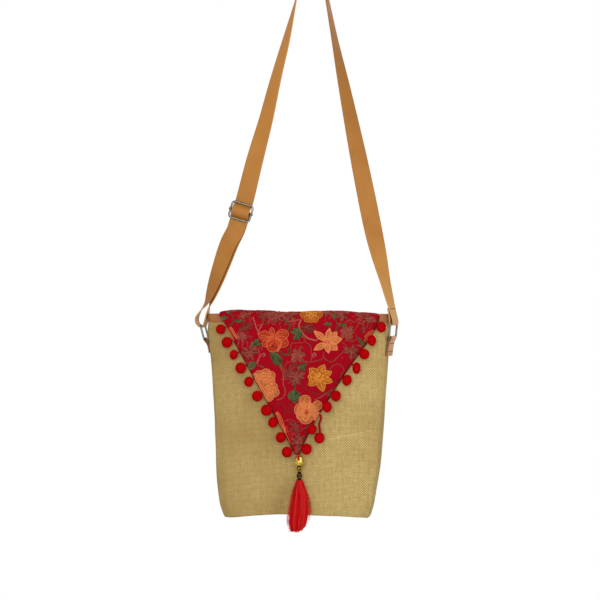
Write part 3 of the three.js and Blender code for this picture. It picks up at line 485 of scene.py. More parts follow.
# Embroidery
# Chain-stitched flowers, leaves and vines in viscose floss, worked by hand in rows that follow each petal
# from its edge to its rib, over the whole flap and round its fold. Places are in mm: across the bag, and
# down from the mouth, which goes on over the fold as it falls below nought.
ROW, FLOSS = 1.15, 0.62  # from one row of stitches to the next, and a row's half width
STITCH_STEP, CHAIN_WAIST = 1.0, 0.72  # half a stitch, and the share that a chain narrows to between two
WOBBLE, WOBBLE_SIZE = 0.45, 4.0  # how far the hand strays from the drawn line, and over what length
WOBBLE_SEED = 5  # without one, the stitches would stray another way in each run
PETAL_STEPS, TURN_STEPS, BEND_STEPS = 24, 14, 10  # points up a petal's side, round an eye, from knot to knot
TIP_INSET, FOOT_INSET = 1.6, 0.4  # how much sooner an inner row turns back, and how much later it starts
RIB = {"lift": 0.3, "floss": 0.5, "from": 1, "short": 2.4, "least": 5}  # a short petal has none
FEATHER = {  # slanted stitches, apart enough that the cloth shows
    "gap": 1.15, "floss": 0.4, "slant": 0.75, "ragged": (0.75, 1.2), "light": 0.45, "rib": 0.2,
}
LIFT = {  # how high each kind of stitch lies on the cloth
    "petal": 0.5, "next": 0.1, "narrow": 0.35, "eye": 1.3, "rim": 1.3, "band": 0.6, "leaf": 0.4, "dark": 0.3,
    "dark_eye": 0.6, "stem": 0.25,
}
NARROW_PETAL, RIM_FLOSS, STEM_FLOSS, LOOSE_FLOSS = 9, 0.6, 0.42, 0.34
FLOSS_COLOURS = {  # each floss and the shade in its hollows
    "rust": ("#d04a26", "#ac3416"), "ember": ("#bf3c1e", "#97270d"), "coral": ("#e57049", "#c95430"),
    "peach": ("#e4904f", "#cb7439"), "clay": ("#cd743e", "#a45628"), "blush": ("#ef9166", "#da7048"),
    "marigold": ("#de822a", "#be6616"), "gold": ("#e89f40", "#d08226"), "ochre": ("#c46a24", "#9c4c12"),
    "fern": ("#6a7d4c", "#4c5e36"), "moss": ("#475632", "#313e20"), "mint": ("#98a474", "#768554"),
    "mauve": ("#a8463a", "#802f24"), "bark": ("#8a3326", "#661e14"), "rose": ("#c46a5a", "#a24a3c"),
    "heather": ("#b05c4c", "#863c2f"),
}
FLOSS_NAMES = list(FLOSS_COLOURS)


def even(path, step):
    """The path again with points that far apart."""
    lengths = [0]
    for a, b in zip(path, path[1:]):
        lengths.append(lengths[-1] + math.dist(a, b))
    count = max(2, round(lengths[-1] / step) + 1)
    points, i = [], 0
    for k in range(count):
        at = lengths[-1] * k / (count - 1)
        while i < len(path) - 2 and lengths[i + 1] < at:
            i += 1
        share = (at - lengths[i]) / max(lengths[i + 1] - lengths[i], 1e-9)
        points.append([a + (b - a) * share for a, b in zip(path[i], path[i + 1])])
    return points


def chain_stitch(lines, path, floss, lift, width=FLOSS):
    """A row of chain stitch along a path on the flap. It stops where the path leaves the cloth."""
    run = []
    for i, spot in enumerate([*even(path, STITCH_STEP), None]):
        found = None
        if spot:
            stray = noise.noise_vector(Vector((*spot, 0)) / WOBBLE_SIZE)
            found = on_flap(spot[0] + WOBBLE * stray.x, spot[1] + WOBBLE * stray.y)
        if found:
            run.append((found[0] + found[1] * lift * MM, width * (1 if i % 2 else CHAIN_WAIST)))
            continue
        if len(run) > 1:
            add_line(lines, [p for p, _ in run], [r for _, r in run], FLOSS_NAMES.index(floss))
        run = []


def leaf_map(root, tip):
    """The length from a root to a tip, and a function for the places along it and to its side."""
    length = math.dist(root, tip)
    way = [(t - r) / length for r, t in zip(root, tip)]
    side = (-way[1], way[0])
    return length, lambda on, off=0: [r + w * on + s * off for r, w, s in zip(root, way, side)]


def petal(lines, root, tip, width, shades, lift, swell, blunt):
    """A petal filled with rows, from its edge inwards, and its rib. Swell moves its widest part to the tip,
    and a low blunt rounds it."""
    length, at = leaf_map(root, tip)
    edge, *fills, rib = shades
    inset, count = 0.0, 0
    while inset < width / 2 - 0.3 * ROW:
        half, reach, foot = width / 2 - inset, length - TIP_INSET * inset, FOOT_INSET * inset
        path = []
        for i in range(2 * PETAL_STEPS + 1):
            share = 1 - abs(i / PETAL_STEPS - 1)
            bulge = half * math.sin(math.pi * max(share, 0.03) ** swell) ** blunt
            path.append(at(foot + share * reach, bulge if i > PETAL_STEPS else -bulge))
        floss = fills[count % len(fills)] if count else edge
        chain_stitch(lines, path, floss, lift - 0.1 * min(count, 2))
        inset, count = inset + ROW, count + 1
    if length > RIB["least"]:
        spine = [at(RIB["from"]), at(length - RIB["short"])]
        chain_stitch(lines, spine, rib, lift + RIB["lift"], RIB["floss"])


def feather(lines, root, tip, width, shades, lift):
    """A leaf or dark petal of slanted stitches on both sides of its rib, so that its edge is ragged."""
    length, at = leaf_map(root, tip)
    dark, light, rib = shades
    count = max(4, round(length / FEATHER["gap"]))
    for i in range(count):
        share = (i + 0.3) / count
        half = width / 2 * math.sin(math.pi * min(0.12 + 0.86 * share, 1)) ** 0.7
        for flank in (-1, 1):
            reach = half * hand.uniform(*FEATHER["ragged"])
            start = share * 0.85 * length
            path = [at(start), at(start + FEATHER["slant"] * reach, flank * reach)]
            floss = light if hand.random() < FEATHER["light"] else dark
            chain_stitch(lines, path, floss, lift, FEATHER["floss"])
    chain_stitch(lines, [root, tip], rib, lift + FEATHER["rib"], FEATHER["floss"])


def around(root, angle, length):
    """The place at an angle from a root: 0 is up and 90 to the right."""
    turn = math.radians(angle)
    return root[0] + length * math.sin(turn), root[1] - length * math.cos(turn)


def rosette(middle, angles, start, length, width):
    """The roots, tips and widths of like petals round a middle."""
    return [(around(middle, a, start), around(middle, a, length), width) for a in angles]


def spiral(lines, root, radius, floss, lift):
    """The eye of a flower, in one row that winds inwards."""
    count = max(1, round(radius / ROW)) * TURN_STEPS
    path = [around(root, 360 * i / TURN_STEPS, radius * (1 - i / count)) for i in range(count + 1)]
    chain_stitch(lines, path, floss, lift)


def bend(points, count=BEND_STEPS):
    """A smooth path through a few points."""
    path = []
    ends = [points[0], *points, points[-1]]
    for knots in zip(ends, ends[1:], ends[2:], ends[3:]):
        for i in range(count):
            t = i / count
            path.append([
                0.5 * (2 * q + (r - p) * t + (2 * p - 5 * q + 4 * r - s) * t * t
                       + (3 * q - p - 3 * r + s) * t ** 3)
                for p, q, r, s in zip(*knots)
            ])
    return [*path, points[-1]]


def neighbours(path):
    """For each point of a path, the one before it and the one after it."""
    return zip([path[0], *path[:-1]], [*path[1:], path[-1]])


def vine(lines, points, floss, rows=2, width=STEM_FLOSS, lift=LIFT["stem"]):
    """A stem or rim in rows of chain stitch side by side."""
    path = bend(points)
    for k in range(rows):
        offset = (k - (rows - 1) / 2) * 2 * width * 0.9
        shifted = []
        for (x, drop), (behind, ahead) in zip(path, neighbours(path)):
            share = offset / (math.dist(ahead, behind) or 1)
            shifted.append((x - share * (ahead[1] - behind[1]), drop + share * (ahead[0] - behind[0])))
        chain_stitch(lines, shifted, floss, lift, width)


noise.seed_set(WOBBLE_SEED)
flosses = [
    spun_thread("viscose_floss_" + name, colour, deep, 0.9 * MM, 0.6, 0.1)
    for name, (colour, deep) in FLOSS_COLOURS.items()
]
blooms = thread_lines("embroidered_flowers", flosses)
RUST, EMBER = ("coral", "rust", "ember", "rust", "coral"), ("coral", "ember", "rust", "ember")
PEACH, LILY = ("blush", "peach", "clay", "peach"), ("blush", "clay", "peach", "peach")
GOLD = ("gold", "marigold", "ochre", "gold")
for shades, swell, blunt, petals in [  # each petal's root, tip and width
    (RUST, 1.2, 0.6, [
        ((-49, 31), (-65, 41.6), 10.5), ((-49, 30.5), (-70.4, 27), 13), ((-47, 31.5), (-30.4, 40.5), 15),
        ((-48.5, 29.5), (-29.6, 24.4), 14), ((-51, 29), (-52.4, 17.4), 7),
    ]),
    (EMBER, 1.0, 0.5, [((-50.4, 28.8), (-51.4, 50.4), 17.5)]),
    (("ember", "ember", "rust", "ember"), 1.1, 0.6, [((-51, 34.4), (-51.8, 48), 9)]),
    (("coral", "rust", "blush"), 0.7, 0.8, [((-44.4, 130), (-31, 160), 5)]),
    (("marigold", "clay", "ochre", "clay"), 1.2, 0.62, [
        (around((1.4, -4), angle, 5), around((1.4, -4), angle, length), 9.5)
        for angle, length in (
            (-150, 15.5), (152, 15.5), (-108, 16), (106, 16), (180, 14), (-62, 15), (60, 15), (-20, 14),
            (22, 14),
        )
    ]),
    (GOLD, 1.1, 0.7, rosette((1.4, -4), range(0, 360, 60), 0, 8, 5.5)),
    (LILY, 0.85, 1.05, [
        ((21, 34.3), (5.4, 21.4), 8.5), ((23, 34.3), (26.8, 17.4), 7), ((26.2, 35.2), (36.6, 22.4), 10.5),
        ((26.2, 36.2), (43.5, 31.4), 11), ((26, 37.9), (37.4, 47), 10.5), ((21.3, 38.3), (5, 47.4), 8),
        ((22.9, 37.7), (25.8, 51.6), 8),
    ]),
    (("peach", "clay", "peach"), 1.0, 0.8, [((24, 35.5), (17.8, 35.6), 8), ((23, 36), (29.8, 36.6), 8)]),
    (("coral", "rust", "coral"), 0.9, 0.8, [((20.3, 35.7), (22.8, 45.5), 5.5)]),
    (GOLD, 0.9, 0.8, [
        ((11.8, 83.3), (19.8, 66.8), 11.5), ((11.8, 83.3), (29.8, 76.2), 10),
        ((12.6, 84.1), (30.8, 89.6), 10), ((12.6, 84.1), (18.8, 102.4), 11),
        ((11.1, 84.1), (-0.8, 94.4), 11.5), ((11, 83.3), (-2.6, 83.1), 11.5),
        ((11, 82.6), (-0.2, 71.8), 11.5),
    ]),
    (("ochre", "gold", "gold"), 1.3, 0.6, rosette((12.5, 84), range(10, 370, 51), 0, 8.5, 6.5)),
    (PEACH, 1.5, 0.5, [
        ((-4.9, 125.7), (-7, 108), 16), ((-0.2, 127.2), (16.6, 118.4), 12.5),
        ((-6.4, 128.8), (-19.8, 125.1), 15), ((-5.6, 133.4), (-17, 136), 11),
        ((3, 133.3), (13.6, 132.4), 8), ((7, 141), (12.9, 130.5), 5),
    ]),
    (PEACH, 0.95, 0.55, [((-3.4, 116), (-5.5, 146), 26)]),
    (("blush", "clay", "peach", "rust"), 0.95, 0.6, [((-3, 120), (-5.1, 142.5), 13)]),
    (PEACH, 1.0, 0.4, [((-69, 77.5), (-54.8, 116.5), 22)]),
    (PEACH, 1.5, 0.5, [
        ((-66, 88), (-71, 75.6), 12), ((-62, 88), (-58, 73), 13), ((-60, 88), (-48.6, 78.4), 11.5),
        ((-61.2, 91), (-47.6, 87.4), 10.5), ((-60, 98), (-43.8, 97), 11.5),
        ((-58.7, 104), (-41.4, 104.4), 12.5), ((-57.8, 107), (-50.2, 113.8), 11.5),
    ]),
    (("clay", "blush", "peach", "rust"), 1.3, 0.5, [
        ((-68, 82), (-58.5, 79.5), 8), ((-65, 91), (-54.5, 87), 8), ((-62, 99), (-51.5, 96.5), 8),
        ((-59, 107), (-50.5, 106), 7),
    ]),
    (PEACH, 1.3, 0.5, rosette((-82, -66), range(0, 360, 60), 1.5, 14, 9)),
    (GOLD, 0.9, 0.8, rosette((-14, -64), range(15, 375, 45), 1.5, 14, 9)),
    (RUST, 1.4, 0.55, rosette((54, -66), range(0, 360, 60), 1.5, 14, 10)),
]:
    for i, (root, tip, width) in enumerate(petals):
        lift = LIFT["petal"] + LIFT["next"] * i + (LIFT["narrow"] if width < NARROW_PETAL else 0)
        petal(blooms, root, tip, width, shades, lift, swell, blunt)
for root, radius, floss in [
    ((12.5, 84), 3, "ochre"), ((1.4, -4), 2.4, "ochre"), ((-4, 131), 2.6, "rust"),
    ((-50.5, 42.5), 1.8, "bark"), ((-82, -66), 3, "gold"), ((-14, -64), 3, "rust"),
    ((54, -66), 3, "gold"),
]:
    spiral(blooms, root, radius, floss, LIFT["eye"])
for rows, width, points in [  # the peony's pale rims
    (3, 0.55, [(-47, 30.5), (-40.8, 35), (-39.8, 41), (-44.6, 50)]),
    (1, RIM_FLOSS, [(-69, 31.5), (-60, 30), (-51, 29.4), (-46, 26), (-38, 23), (-30, 23.6)]),
    (1, RIM_FLOSS, [(-51, 29.4), (-56.6, 34), (-59.4, 40), (-57, 47)]),
]:
    vine(blooms, points, "coral", rows, width, LIFT["rim"])
for start, end, rows in [  # bands of coral rows along the hem
    ((-113.9, 18.2), (-104.6, 34.6), ("coral", "coral")),
    ((-109.8, 16.6), (-99.6, 32.2), ("blush", "rust", "coral")),
    ((84.7, 20.4), (73.7, 35.2), ("coral", "rust", "coral")),
    ((79.6, 21.6), (73.4, 30), ("rust", "coral")),
    ((-76.6, 79.2), (-55.4, 116), ("blush", "clay", "blush")), ((-46.6, 131.5), (-24.8, 172), ("coral",)),
    ((-34, 148), (-25.5, 164), ("rust",)),
]:
    length, at = leaf_map(start, end)
    for k, floss in enumerate(rows):
        aside = ((len(rows) - 1) / 2 - k) * ROW
        chain_stitch(blooms, [at(0, aside), at(length, aside)], floss, LIFT["band"])

leaves = thread_lines("embroidered_leaves", flosses)
leaves.bevel_resolution = 0
LOOSE_STITCHES, DARK_ROOT, DARK_EYE = 9, 0.8, 1.4  # round each dark flower, and in its middle
hand = random.Random(5)
FERN, MINT = ("moss", "fern", "fern"), ("fern", "mint", "moss")
BARK, MAUVE = ("bark", "heather", "rose"), ("heather", "rose", "bark")
SHADOW = ("bark", "mauve", "heather")
for root, tip, width, shades in [
    ((-53.8, 48.5), (-37.4, 70.5), 13, FERN), ((-46, 52), (-40.5, 58), 5, FERN),
    ((-86, 75), (-73.5, 62.5), 9, MINT), ((-21.2, 119), (-20.5, 99.5), 12.5, FERN),
    ((-27, 114), (-27.5, 104), 5, FERN), ((-15, 113), (-13.5, 103.5), 5, FERN),
    ((-80, 41.5), (-69, 32), 5.5, FERN), ((-76, 42), (-64, 38), 4.5, FERN),
    ((29.7, 12.1), (18, 12.6), 5, FERN), ((38.6, 14.1), (50.5, 13.6), 5, FERN),
    ((31.3, 5.4), (34, -3.5), 5, FERN), ((-113, 4), (-124.5, 4.5), 6, FERN),
    ((-104.3, 9.1), (-92, 8), 5, FERN), ((-112, -2), (-115, -11), 5, FERN),
    ((-14.9, 70), (-3, 66), 5.5, FERN), ((-13, 70), (-6, 75), 4.5, FERN), ((65, 30), (72, 41), 4.5, FERN),
    ((75, 36), (68, 42), 4, FERN), ((-97.8, 20.8), (-77.8, 11.8), 12, SHADOW),
    ((-12.5, 15.4), (8, 20.6), 13, SHADOW), ((71.3, 11.8), (71.9, 25), 7, SHADOW),
    ((88, 9), (78, 2), 5, BARK), ((26, 104), (40, 96), 6, SHADOW), ((24, 108), (36, 105), 5, BARK),
    ((-60, 119), (-51, 127), 5.5, SHADOW), ((-6, 152), (4, 146), 5, SHADOW),
    ((-71, 68.5), (-62, 71), 4, SHADOW), ((-42, 66), (-34, 74), 5, SHADOW),
]:
    feather(leaves, root, tip, width, shades, LIFT["leaf"])
for root, tip, width in rosette((-18.1, 25.7), (-70, -28, 15, 60, 110, 158, 208), 0.8, 9.5, 5):
    feather(leaves, root, tip, width, FERN, LIFT["leaf"])
for root, count, length, width, shades, first in [  # the dark flowers
    ((-45.8, 2.2), 6, 11, 6, BARK, 10), ((-81.9, 50.5), 7, 13.5, 7, BARK, 0),
    ((-17.5, 53.7), 6, 12, 6.5, MAUVE, 20), ((42.2, -1), 6, 11, 6, BARK, 0),
    ((51, 24), 7, 12, 6, MAUVE, 25), ((56, 48.7), 6, 12, 6.5, BARK, 10),
    ((-17.6, 83), 7, 13, 6.5, BARK, 5), ((-28, 80), 5, 10, 6, SHADOW, 30),
    ((-15.4, 169), 6, 10.5, 5, BARK, 0), ((-14, 180), 4, 7, 4, MAUVE, 45),
    ((-90, 0), 6, 8, 4.5, BARK, 15), ((77, 6), 6, 8.5, 4.5, BARK, 0), ((-94, 30), 5, 9, 5, MAUVE, 20),
    ((-64, 2), 5, 10, 5.5, SHADOW, 40), ((-26, 0), 5, 10, 5.5, BARK, 10),
    ((22, -6), 6, 10, 5.5, BARK, 10), ((66, -3), 5, 7, 4, MAUVE, 20), ((-20, 150), 5, 9, 5, SHADOW, 10),
    ((20, -24), 6, 11, 5.5, MAUVE, 0), ((-60, -24), 6, 11, 5.5, BARK, 20),
    ((-104, -20), 6, 10, 5, MAUVE, 5), ((78, -26), 6, 10, 5, BARK, 12), ((-50, -68), 6, 9, 4.5, BARK, 0),
    ((20, -68), 6, 9, 4.5, MAUVE, 10), ((84, -64), 6, 9, 4.5, BARK, 0),
    ((-112, -62), 6, 9, 4.5, MAUVE, 10), ((-20, -26), 6, 11, 5.5, BARK, 8),
    ((-36.5, -1), 5, 9, 5, BARK, 15), ((-55, -1), 5, 8, 5, BARK, 40),
]:
    for i in range(count):
        angle = first + 360 * (i + hand.uniform(-0.2, 0.2)) / count
        tip = around(root, angle, length * hand.uniform(0.75, 1.12))
        start = around(root, angle, DARK_ROOT)
        feather(leaves, start, tip, width * hand.uniform(0.8, 1.2), shades, LIFT["dark"])
    spiral(leaves, root, DARK_EYE, shades[1], LIFT["dark_eye"])
    for i in range(LOOSE_STITCHES):
        angle, start = hand.uniform(0, 360), length * hand.uniform(0.85, 1.3)
        here = around(root, angle, start)
        there = around(root, angle + hand.uniform(6, 22), start + hand.uniform(1, 5))
        floss = hand.choice(("rose", "heather", "rose"))
        chain_stitch(leaves, [here, there], floss, LIFT["stem"], LOOSE_FLOSS)

vines = thread_lines("embroidered_vines", flosses)
for floss, points in [
    ("rose", [(-31.1, 8.6), (-23.5, 8.4), (-16.2, 6.4)]), ("heather", [(-70.6, 45.8), (-69, 54.9)]),
    ("rose", [(-78.3, 2.6), (-74.4, 15.1), (-69.3, 26.6)]),
    ("rose", [(-64.8, 10.5), (-69.4, 20.5), (-71.8, 26.6)]),
    ("rose", [(-72.5, 66), (-68.9, 56.7), (-63.5, 51.8), (-60.9, 54.8), (-64.1, 56.1)]),
    ("moss", [(30.6, 2.7), (36.8, 11.7), (34.8, 20.8), (26.8, 30.9)]),
    ("moss", [(-112.1, -4), (-105.8, 3.7), (-106.6, 11.1), (-111.8, 15.2)]),
    ("moss", [(-27.1, 80), (-27.2, 70.1), (-19, 66.7), (-10.8, 69.3)]),
    ("moss", [(-22, 86), (-21, 93), (-20.5, 101)]),
    ("mauve", [(42.5, 36), (49.4, 42.3), (45.9, 48.2), (39.2, 55), (33, 60)]),
    ("mauve", [(-8.6, 63.7), (2.8, 62.8), (13, 60.5), (18.1, 57.1), (18.6, 49.2)]),
    ("mauve", [(18.4, 55), (21, 59.5), (28, 63.1), (35.2, 60)]),
    ("rose", [(5, 58), (3.8, 54.4), (6, 51.2), (8.4, 53.4), (6.4, 56)]),
    ("mauve", [(-9.7, 27.6), (-6.3, 35.6), (-0.1, 41.2), (2.2, 51.4), (1.6, 62)]),
    ("mauve", [
        (29, 79), (28, 73.2), (31.6, 67.6), (37.3, 65.5), (43.4, 68.6), (46, 74.1), (42, 81.4), (43.5, 88),
    ]),
    ("bark", [(28.7, 86), (34.1, 89.4), (39.6, 95.6), (42.3, 100)]),
    ("bark", [(-13.4, 88), (-12.4, 92), (-6, 99.5), (7.6, 105.5), (20.1, 104.5), (33, 99)]),
    ("heather", [(-40.9, 68.9), (-36.6, 79.6), (-35.8, 93), (-33, 103.7), (-37, 111.8), (-45, 114.5)]),
    ("mauve", [(-30, 62), (-35, 72), (-33, 84)]),
    ("bark", [(-60.9, -2), (-66.4, 5.6), (-60.8, 12.4), (-53.9, 9.7)]),
    ("mauve", [(53.6, 6.4), (61.8, 9.4), (68.8, 1.5), (77.9, -1)]),
    ("mauve", [(68.8, 1.5), (65.2, 11.7), (60, 21)]), ("mauve", [(68.2, 1.6), (71.3, 11.7), (74.3, 24)]),
    ("mauve", [(77.2, -0.3), (84.4, 3.3), (89.2, 9)]),
    ("mauve", [(57, 36), (63.2, 32), (62, 26)]),
    ("mauve", [(-33.8, 143), (-26.4, 140.4), (-18.1, 145), (-14.2, 155.6), (-6, 151.5)]),
    ("bark", [(-46, 119), (-38, 119), (-33, 124), (-33, 134)]),
    ("bark", [
        (-29.3, 119.7), (-24.4, 122.4), (-22.4, 129.4), (-26.5, 132.1), (-30.2, 128.4), (-27.2, 125.7),
    ]),
    ("bark", [(-18.1, 146.3), (-16.7, 157), (-18.6, 167.7), (-13.7, 184)]),
    ("bark", [(-6, 150), (-4, 160), (-9, 170)]),
    ("heather", [(7, 114), (16.7, 109.2), (26.8, 102.1)]),
    ("mauve", [(-99.6, 23), (-94, 25.4), (-87.8, 29.6), (-96.4, 31.5), (-98, 40)]),
    ("mauve", [(-92, 58), (-86, 66), (-80, 62)]),
    ("mauve", [(-26.1, 37.6), (-16.5, 37.8), (-6.9, 36.5)]),
    ("mauve", [(-62, -4), (-52, 4), (-40, 2), (-30, 6)]), ("bark", [(-34, 2), (-24, 5), (-14, -1)]),
    ("mauve", [
        (-120, -14), (-96, -32), (-70, -24), (-44, -34), (-18, -22), (6, -34), (34, -24), (62, -36),
        (90, -24),
    ]),
    ("bark", [(-118, -74), (-98, -58), (-66, -78), (-34, -56), (2, -76), (36, -58), (68, -78), (92, -64)]),
]:
    vine(vines, points, floss)
for floss, points in [  # the thick stems
    ("rose", [(-12, 5.5), (-15.2, 15.5), (-9.7, 25.2), (-1.8, 31.9), (9.8, 34.2)]),
    ("moss", [(-38, 5), (-32.4, 9), (-28, 14.6), (-29.5, 20), (-34.6, 20.6)]),
    ("moss", [(-40.3, 48), (-36.5, 53.4), (-29.5, 52.8), (-26.7, 48.2), (-31.2, 46.6)]),
]:
    vine(vines, points, floss, 3)
for lines in (blooms, leaves, vines):
    add_threads(lines, None)


# Pompoms
# Balls of clipped red acrylic yarn, ten down each edge of the flap, each tied to the hem by its own thread.
# One on the right has come loose and dangles on the two ends of its thread.
POMPOM_RED, POMPOM_DEEP, TIE_RED = "#ca0910", "#9e050b", "#8c120f"
POMPOM_SHAPES = {  # each ball's width and height, as shares of the CAD's
    "left": [(0.95, 0.97), (1.02, 1.03), (0.86, 1.06), (1.0, 1.06), (0.95, 1.04), (1.04, 1.05), (1.06, 1.08),
             (0.96, 1.1), (1.02, 1.12), (1.02, 1.04)],
    "right": [(0.92, 1.04), (0.82, 1.02), (1.08, 1.1), (0.76, 1.08), (0.92, 1.1), (0.95, 1.06), (0.9, 1.08),
              (1.02, 1.08), (0.95, 1.06), (0.96, 1.08)],
}
POMPOM_DEPTH, POMPOM_TILT = 0.97, 0.3
POMPOM_VARIANTS, POMPOM_CORE, POMPOM_LUMP = 3, 0.97, 0.05
YARN_ENDS = {  # sizes as shares of the radius
    "count": 1000, "thick": 0.055, "tip": 0.012, "short": 0.06, "long": 0.13, "sunk": 0.1, "lean": 0.6,
}
TIE_THREAD, TIE_SPREAD, TIE_WAVE = 0.85, 0.48, [(0.5, 0)]  # how wide its two strands are and stray, in mm
TIE_FOOT, TIE_FRONT, TIE_STEPS = 0.5, -0.3, 8
LOOSE_POMPOM, LOOSE_SPREAD, LOOSE_WAVE = "pompom_right_8", 0.75, [(0.17, 1.2), (0.41, -0.8), (0.68, 0.3)]
BALL_SHARE, BALL_ROUNDS = 0.84, 12  # that share of a CAD pompom's points is on its ball, found in rounds


def ball_of(name):
    """The middle and radius of a pompom's ball in the CAD, and the foot of its thread."""
    points = np.unique(np.round([v.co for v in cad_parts[name].data.vertices], 6), axis=0)
    off = np.linalg.norm(points - np.median(points, axis=0), axis=1)
    for _ in range(BALL_ROUNDS):
        kept = points[off <= np.quantile(off, BALL_SHARE)]
        answer = np.linalg.lstsq(np.c_[2 * kept, np.ones(len(kept))], (kept ** 2).sum(1), rcond=None)[0]
        centre = answer[:3]
        radius = math.sqrt(answer[3] + centre @ centre)
        off = abs(np.linalg.norm(points - centre, axis=1) - radius)
    return Vector(centre), radius, Vector(points[off > 0.5 * off.max()].mean(0))


acrylic = spun_thread("clipped_acrylic_yarn", POMPOM_RED, POMPOM_DEEP, 1.6 * MM, 1.0, 0.0)
tie_yarn = spun_thread("twisted_acrylic_yarn", TIE_RED, POMPOM_DEEP, 1.2 * MM, 0.9, 0.05)
dice = random.Random(11)
clipped = []
for variant in range(POMPOM_VARIANTS):  # balls of unit radius, turned and squashed to make them all
    ball = bmesh.new()
    bmesh.ops.create_icosphere(ball, subdivisions=3, radius=POMPOM_CORE)
    for vert in ball.verts:
        vert.co *= 1 + POMPOM_LUMP * noise.noise(vert.co * 2.6 + Vector((variant * 9, 0, 0)))
    for _ in range(YARN_ENDS["count"]):
        way = Vector([dice.gauss(0, 1) for _ in range(3)]).normalized()
        lean = (way + YARN_ENDS["lean"] * Vector([dice.uniform(-1, 1) for _ in range(3)])).normalized()
        long = dice.uniform(YARN_ENDS["short"], YARN_ENDS["long"]) + YARN_ENDS["sunk"]
        middle = Matrix.Translation(way * (POMPOM_CORE - YARN_ENDS["sunk"]) + lean * long / 2)
        bmesh.ops.create_cone(
            ball, segments=3, cap_ends=True, radius1=YARN_ENDS["thick"], radius2=YARN_ENDS["tip"], depth=long,
            matrix=middle @ lean.to_track_quat("Z", "Y").to_matrix().to_4x4(),
        )
    clipped.append(mesh_of("clipped_ball", ball))
for side, shapes in POMPOM_SHAPES.items():
    names = [f"pompom_{side}_{i + 1}" for i in range(len(shapes))]
    bm = bmesh.new()
    ties = thread_lines("pompom_ties_" + side, [tie_yarn])
    for i, (name, (wide, tall)) in enumerate(zip(names, shapes)):
        centre, radius, foot = ball_of(name)
        before = len(bm.verts)
        bm.from_mesh(clipped[i % POMPOM_VARIANTS])
        bm.verts.ensure_lookup_table()
        turn = Matrix.Rotation(dice.uniform(0, 6), 4, "X") @ Matrix.Rotation(dice.uniform(0, 6), 4, "Z")
        tilt = Matrix.Rotation(dice.uniform(-POMPOM_TILT, POMPOM_TILT), 4, "Y")
        squash = tilt @ Matrix.Diagonal((wide, POMPOM_DEPTH, tall, 1))
        spin = Matrix.Translation(centre) @ squash @ turn @ Matrix.Scale(radius, 4)
        bmesh.ops.transform(bm, matrix=spin, verts=bm.verts[before:])
        spread, wave = (LOOSE_SPREAD, LOOSE_WAVE) if name == LOOSE_POMPOM else (TIE_SPREAD, TIE_WAVE)
        for aside in (-1, 1):
            points = [foot + mm(aside * TIE_FOOT, 0, 0)]
            for share, stray in wave:
                points.append(foot.lerp(centre, share) + mm(stray + aside * spread, TIE_FRONT, 0))
            add_line(ties, bend([*points, centre], TIE_STEPS), TIE_THREAD)
    add_piece("pompoms_" + side, bm, [acrylic], "pompom_wool", *names)
    add_threads(ties, "pompom_wool")
for mesh in clipped:
    bpy.data.meshes.remove(mesh)


# Tassel
# A twisted red cord from the flap's point runs through a pressed gold cap and a gold bead to a small ring,
# and a hank of red viscose threads hangs from it, gathered in a gold ferrule and cut off unevenly.
TASSEL_DEEP, CORD_RED = "#b4060c", "#c20c12"
TASSEL_TONES = (  # and how many of ten threads have each
    ("bright", "#e21016", "#bc080e", 6), ("dark", "#bc070c", "#98050a", 2),
    ("pale", "#f4403a", "#e0241f", 2),
)
# The last two colours draw gilt metal dark: painted dark reflection on the small rings, the bead's eyes and
# the ferrule.
GOLD_PALE, GOLD_SHADE, GOLD_DARK_REFLECTION, GOLD_DARKEST_REFLECTION = "#efd36a", "#84661c", "#4a2e14", "#24140a"
TARNISH = 2.2 * MM  # size of its patches
CORD = {"plies": 3, "ply": 0.62, "round": 0.6, "turn": 5.2, "knots": 60, "foot": 4.6}
CORD_SWAY, CORD_SWAY_LONG = 0.9, 4  # it starts that much further back, at the flap's point
TIE_ENDS, TIE_END = 6, 0.42  # loose ends of the knot, over the cap
CAP = [  # radii and heights, from the hole in its top down its outside and back up inside
    (1.4, 2.2), (3.6, 2.6), (4.9, 2.2), (5.4, 1.0), (5.2, -0.6), (5.5, -2), (5.9, -3.6), (5.9, -5.4),
    (5.5, -7.2), (4.7, -8.8), (3.8, -8.8), (4.7, -7), (5, -5.2), (4.9, -3.6), (4.4, -1.9), (4.3, 1.2),
    (1.4, 1.4),
]
CAP_LOBES, LOBE_DEEP, LOBE_FALL = 7, 0.07, 6  # its foot is fluted
LOBE_EYE = {"out": 6.35, "down": 5.2, "round": 1.55, "wire": 0.36, "grain": 0.72}
CAP_BEADS = {"count": 21, "out": 5.1, "up": 0.3, "round": 0.62}
CAP_RIM = {"round": 4.7, "wire": 0.55, "up": 2.2}
BEAD_ROUND, BEAD_HOLE, BEAD_NECK = 4.7, 1.4, 2.1
BEAD_RIM = {"round": 2.2, "wire": 0.45, "in": 0.4}
BEAD_EYE = {"out": 4.6, "aside": 0.5, "up": 0.6, "round": 2.4, "wire": 0.78, "pupil": 1.05}  # front and back
JUMP_RINGS = ((55, 1.2, 2.6), (-15, -0.8, 3.3))  # each one's turn, rise and radius
JUMP_WIRE = 0.85
CORD_EYE = {"round": 1.9, "wire": 0.6, "up": 2.4}
FERRULE = [(0.01, 0), (3.3, 0), (3.5, 0.7), (3.2, 1.2), (3.3, 2.0), (2.6, 2.8), (1.5, 3.3), (0.01, 3.4)]
FERRULE_EYE = {"round": 1.7, "wire": 0.5, "down": 2.2}
SKIRT = [  # fall from the top of the threads, half width, half depth and lean
    (0, 3.5, 3.4, 0.0), (7, 5.3, 4.3, 0.2), (17, 8.4, 5.2, 0.5), (30, 11.2, 5.6, 0.6),
    (44, 12.5, 5.7, -0.4), (55, 12.2, 5.6, -1.6), (70, 9.6, 5.0, -2.8),
]
SKIRT_OVER = 1.3  # the threads start over the foot of the ferrule
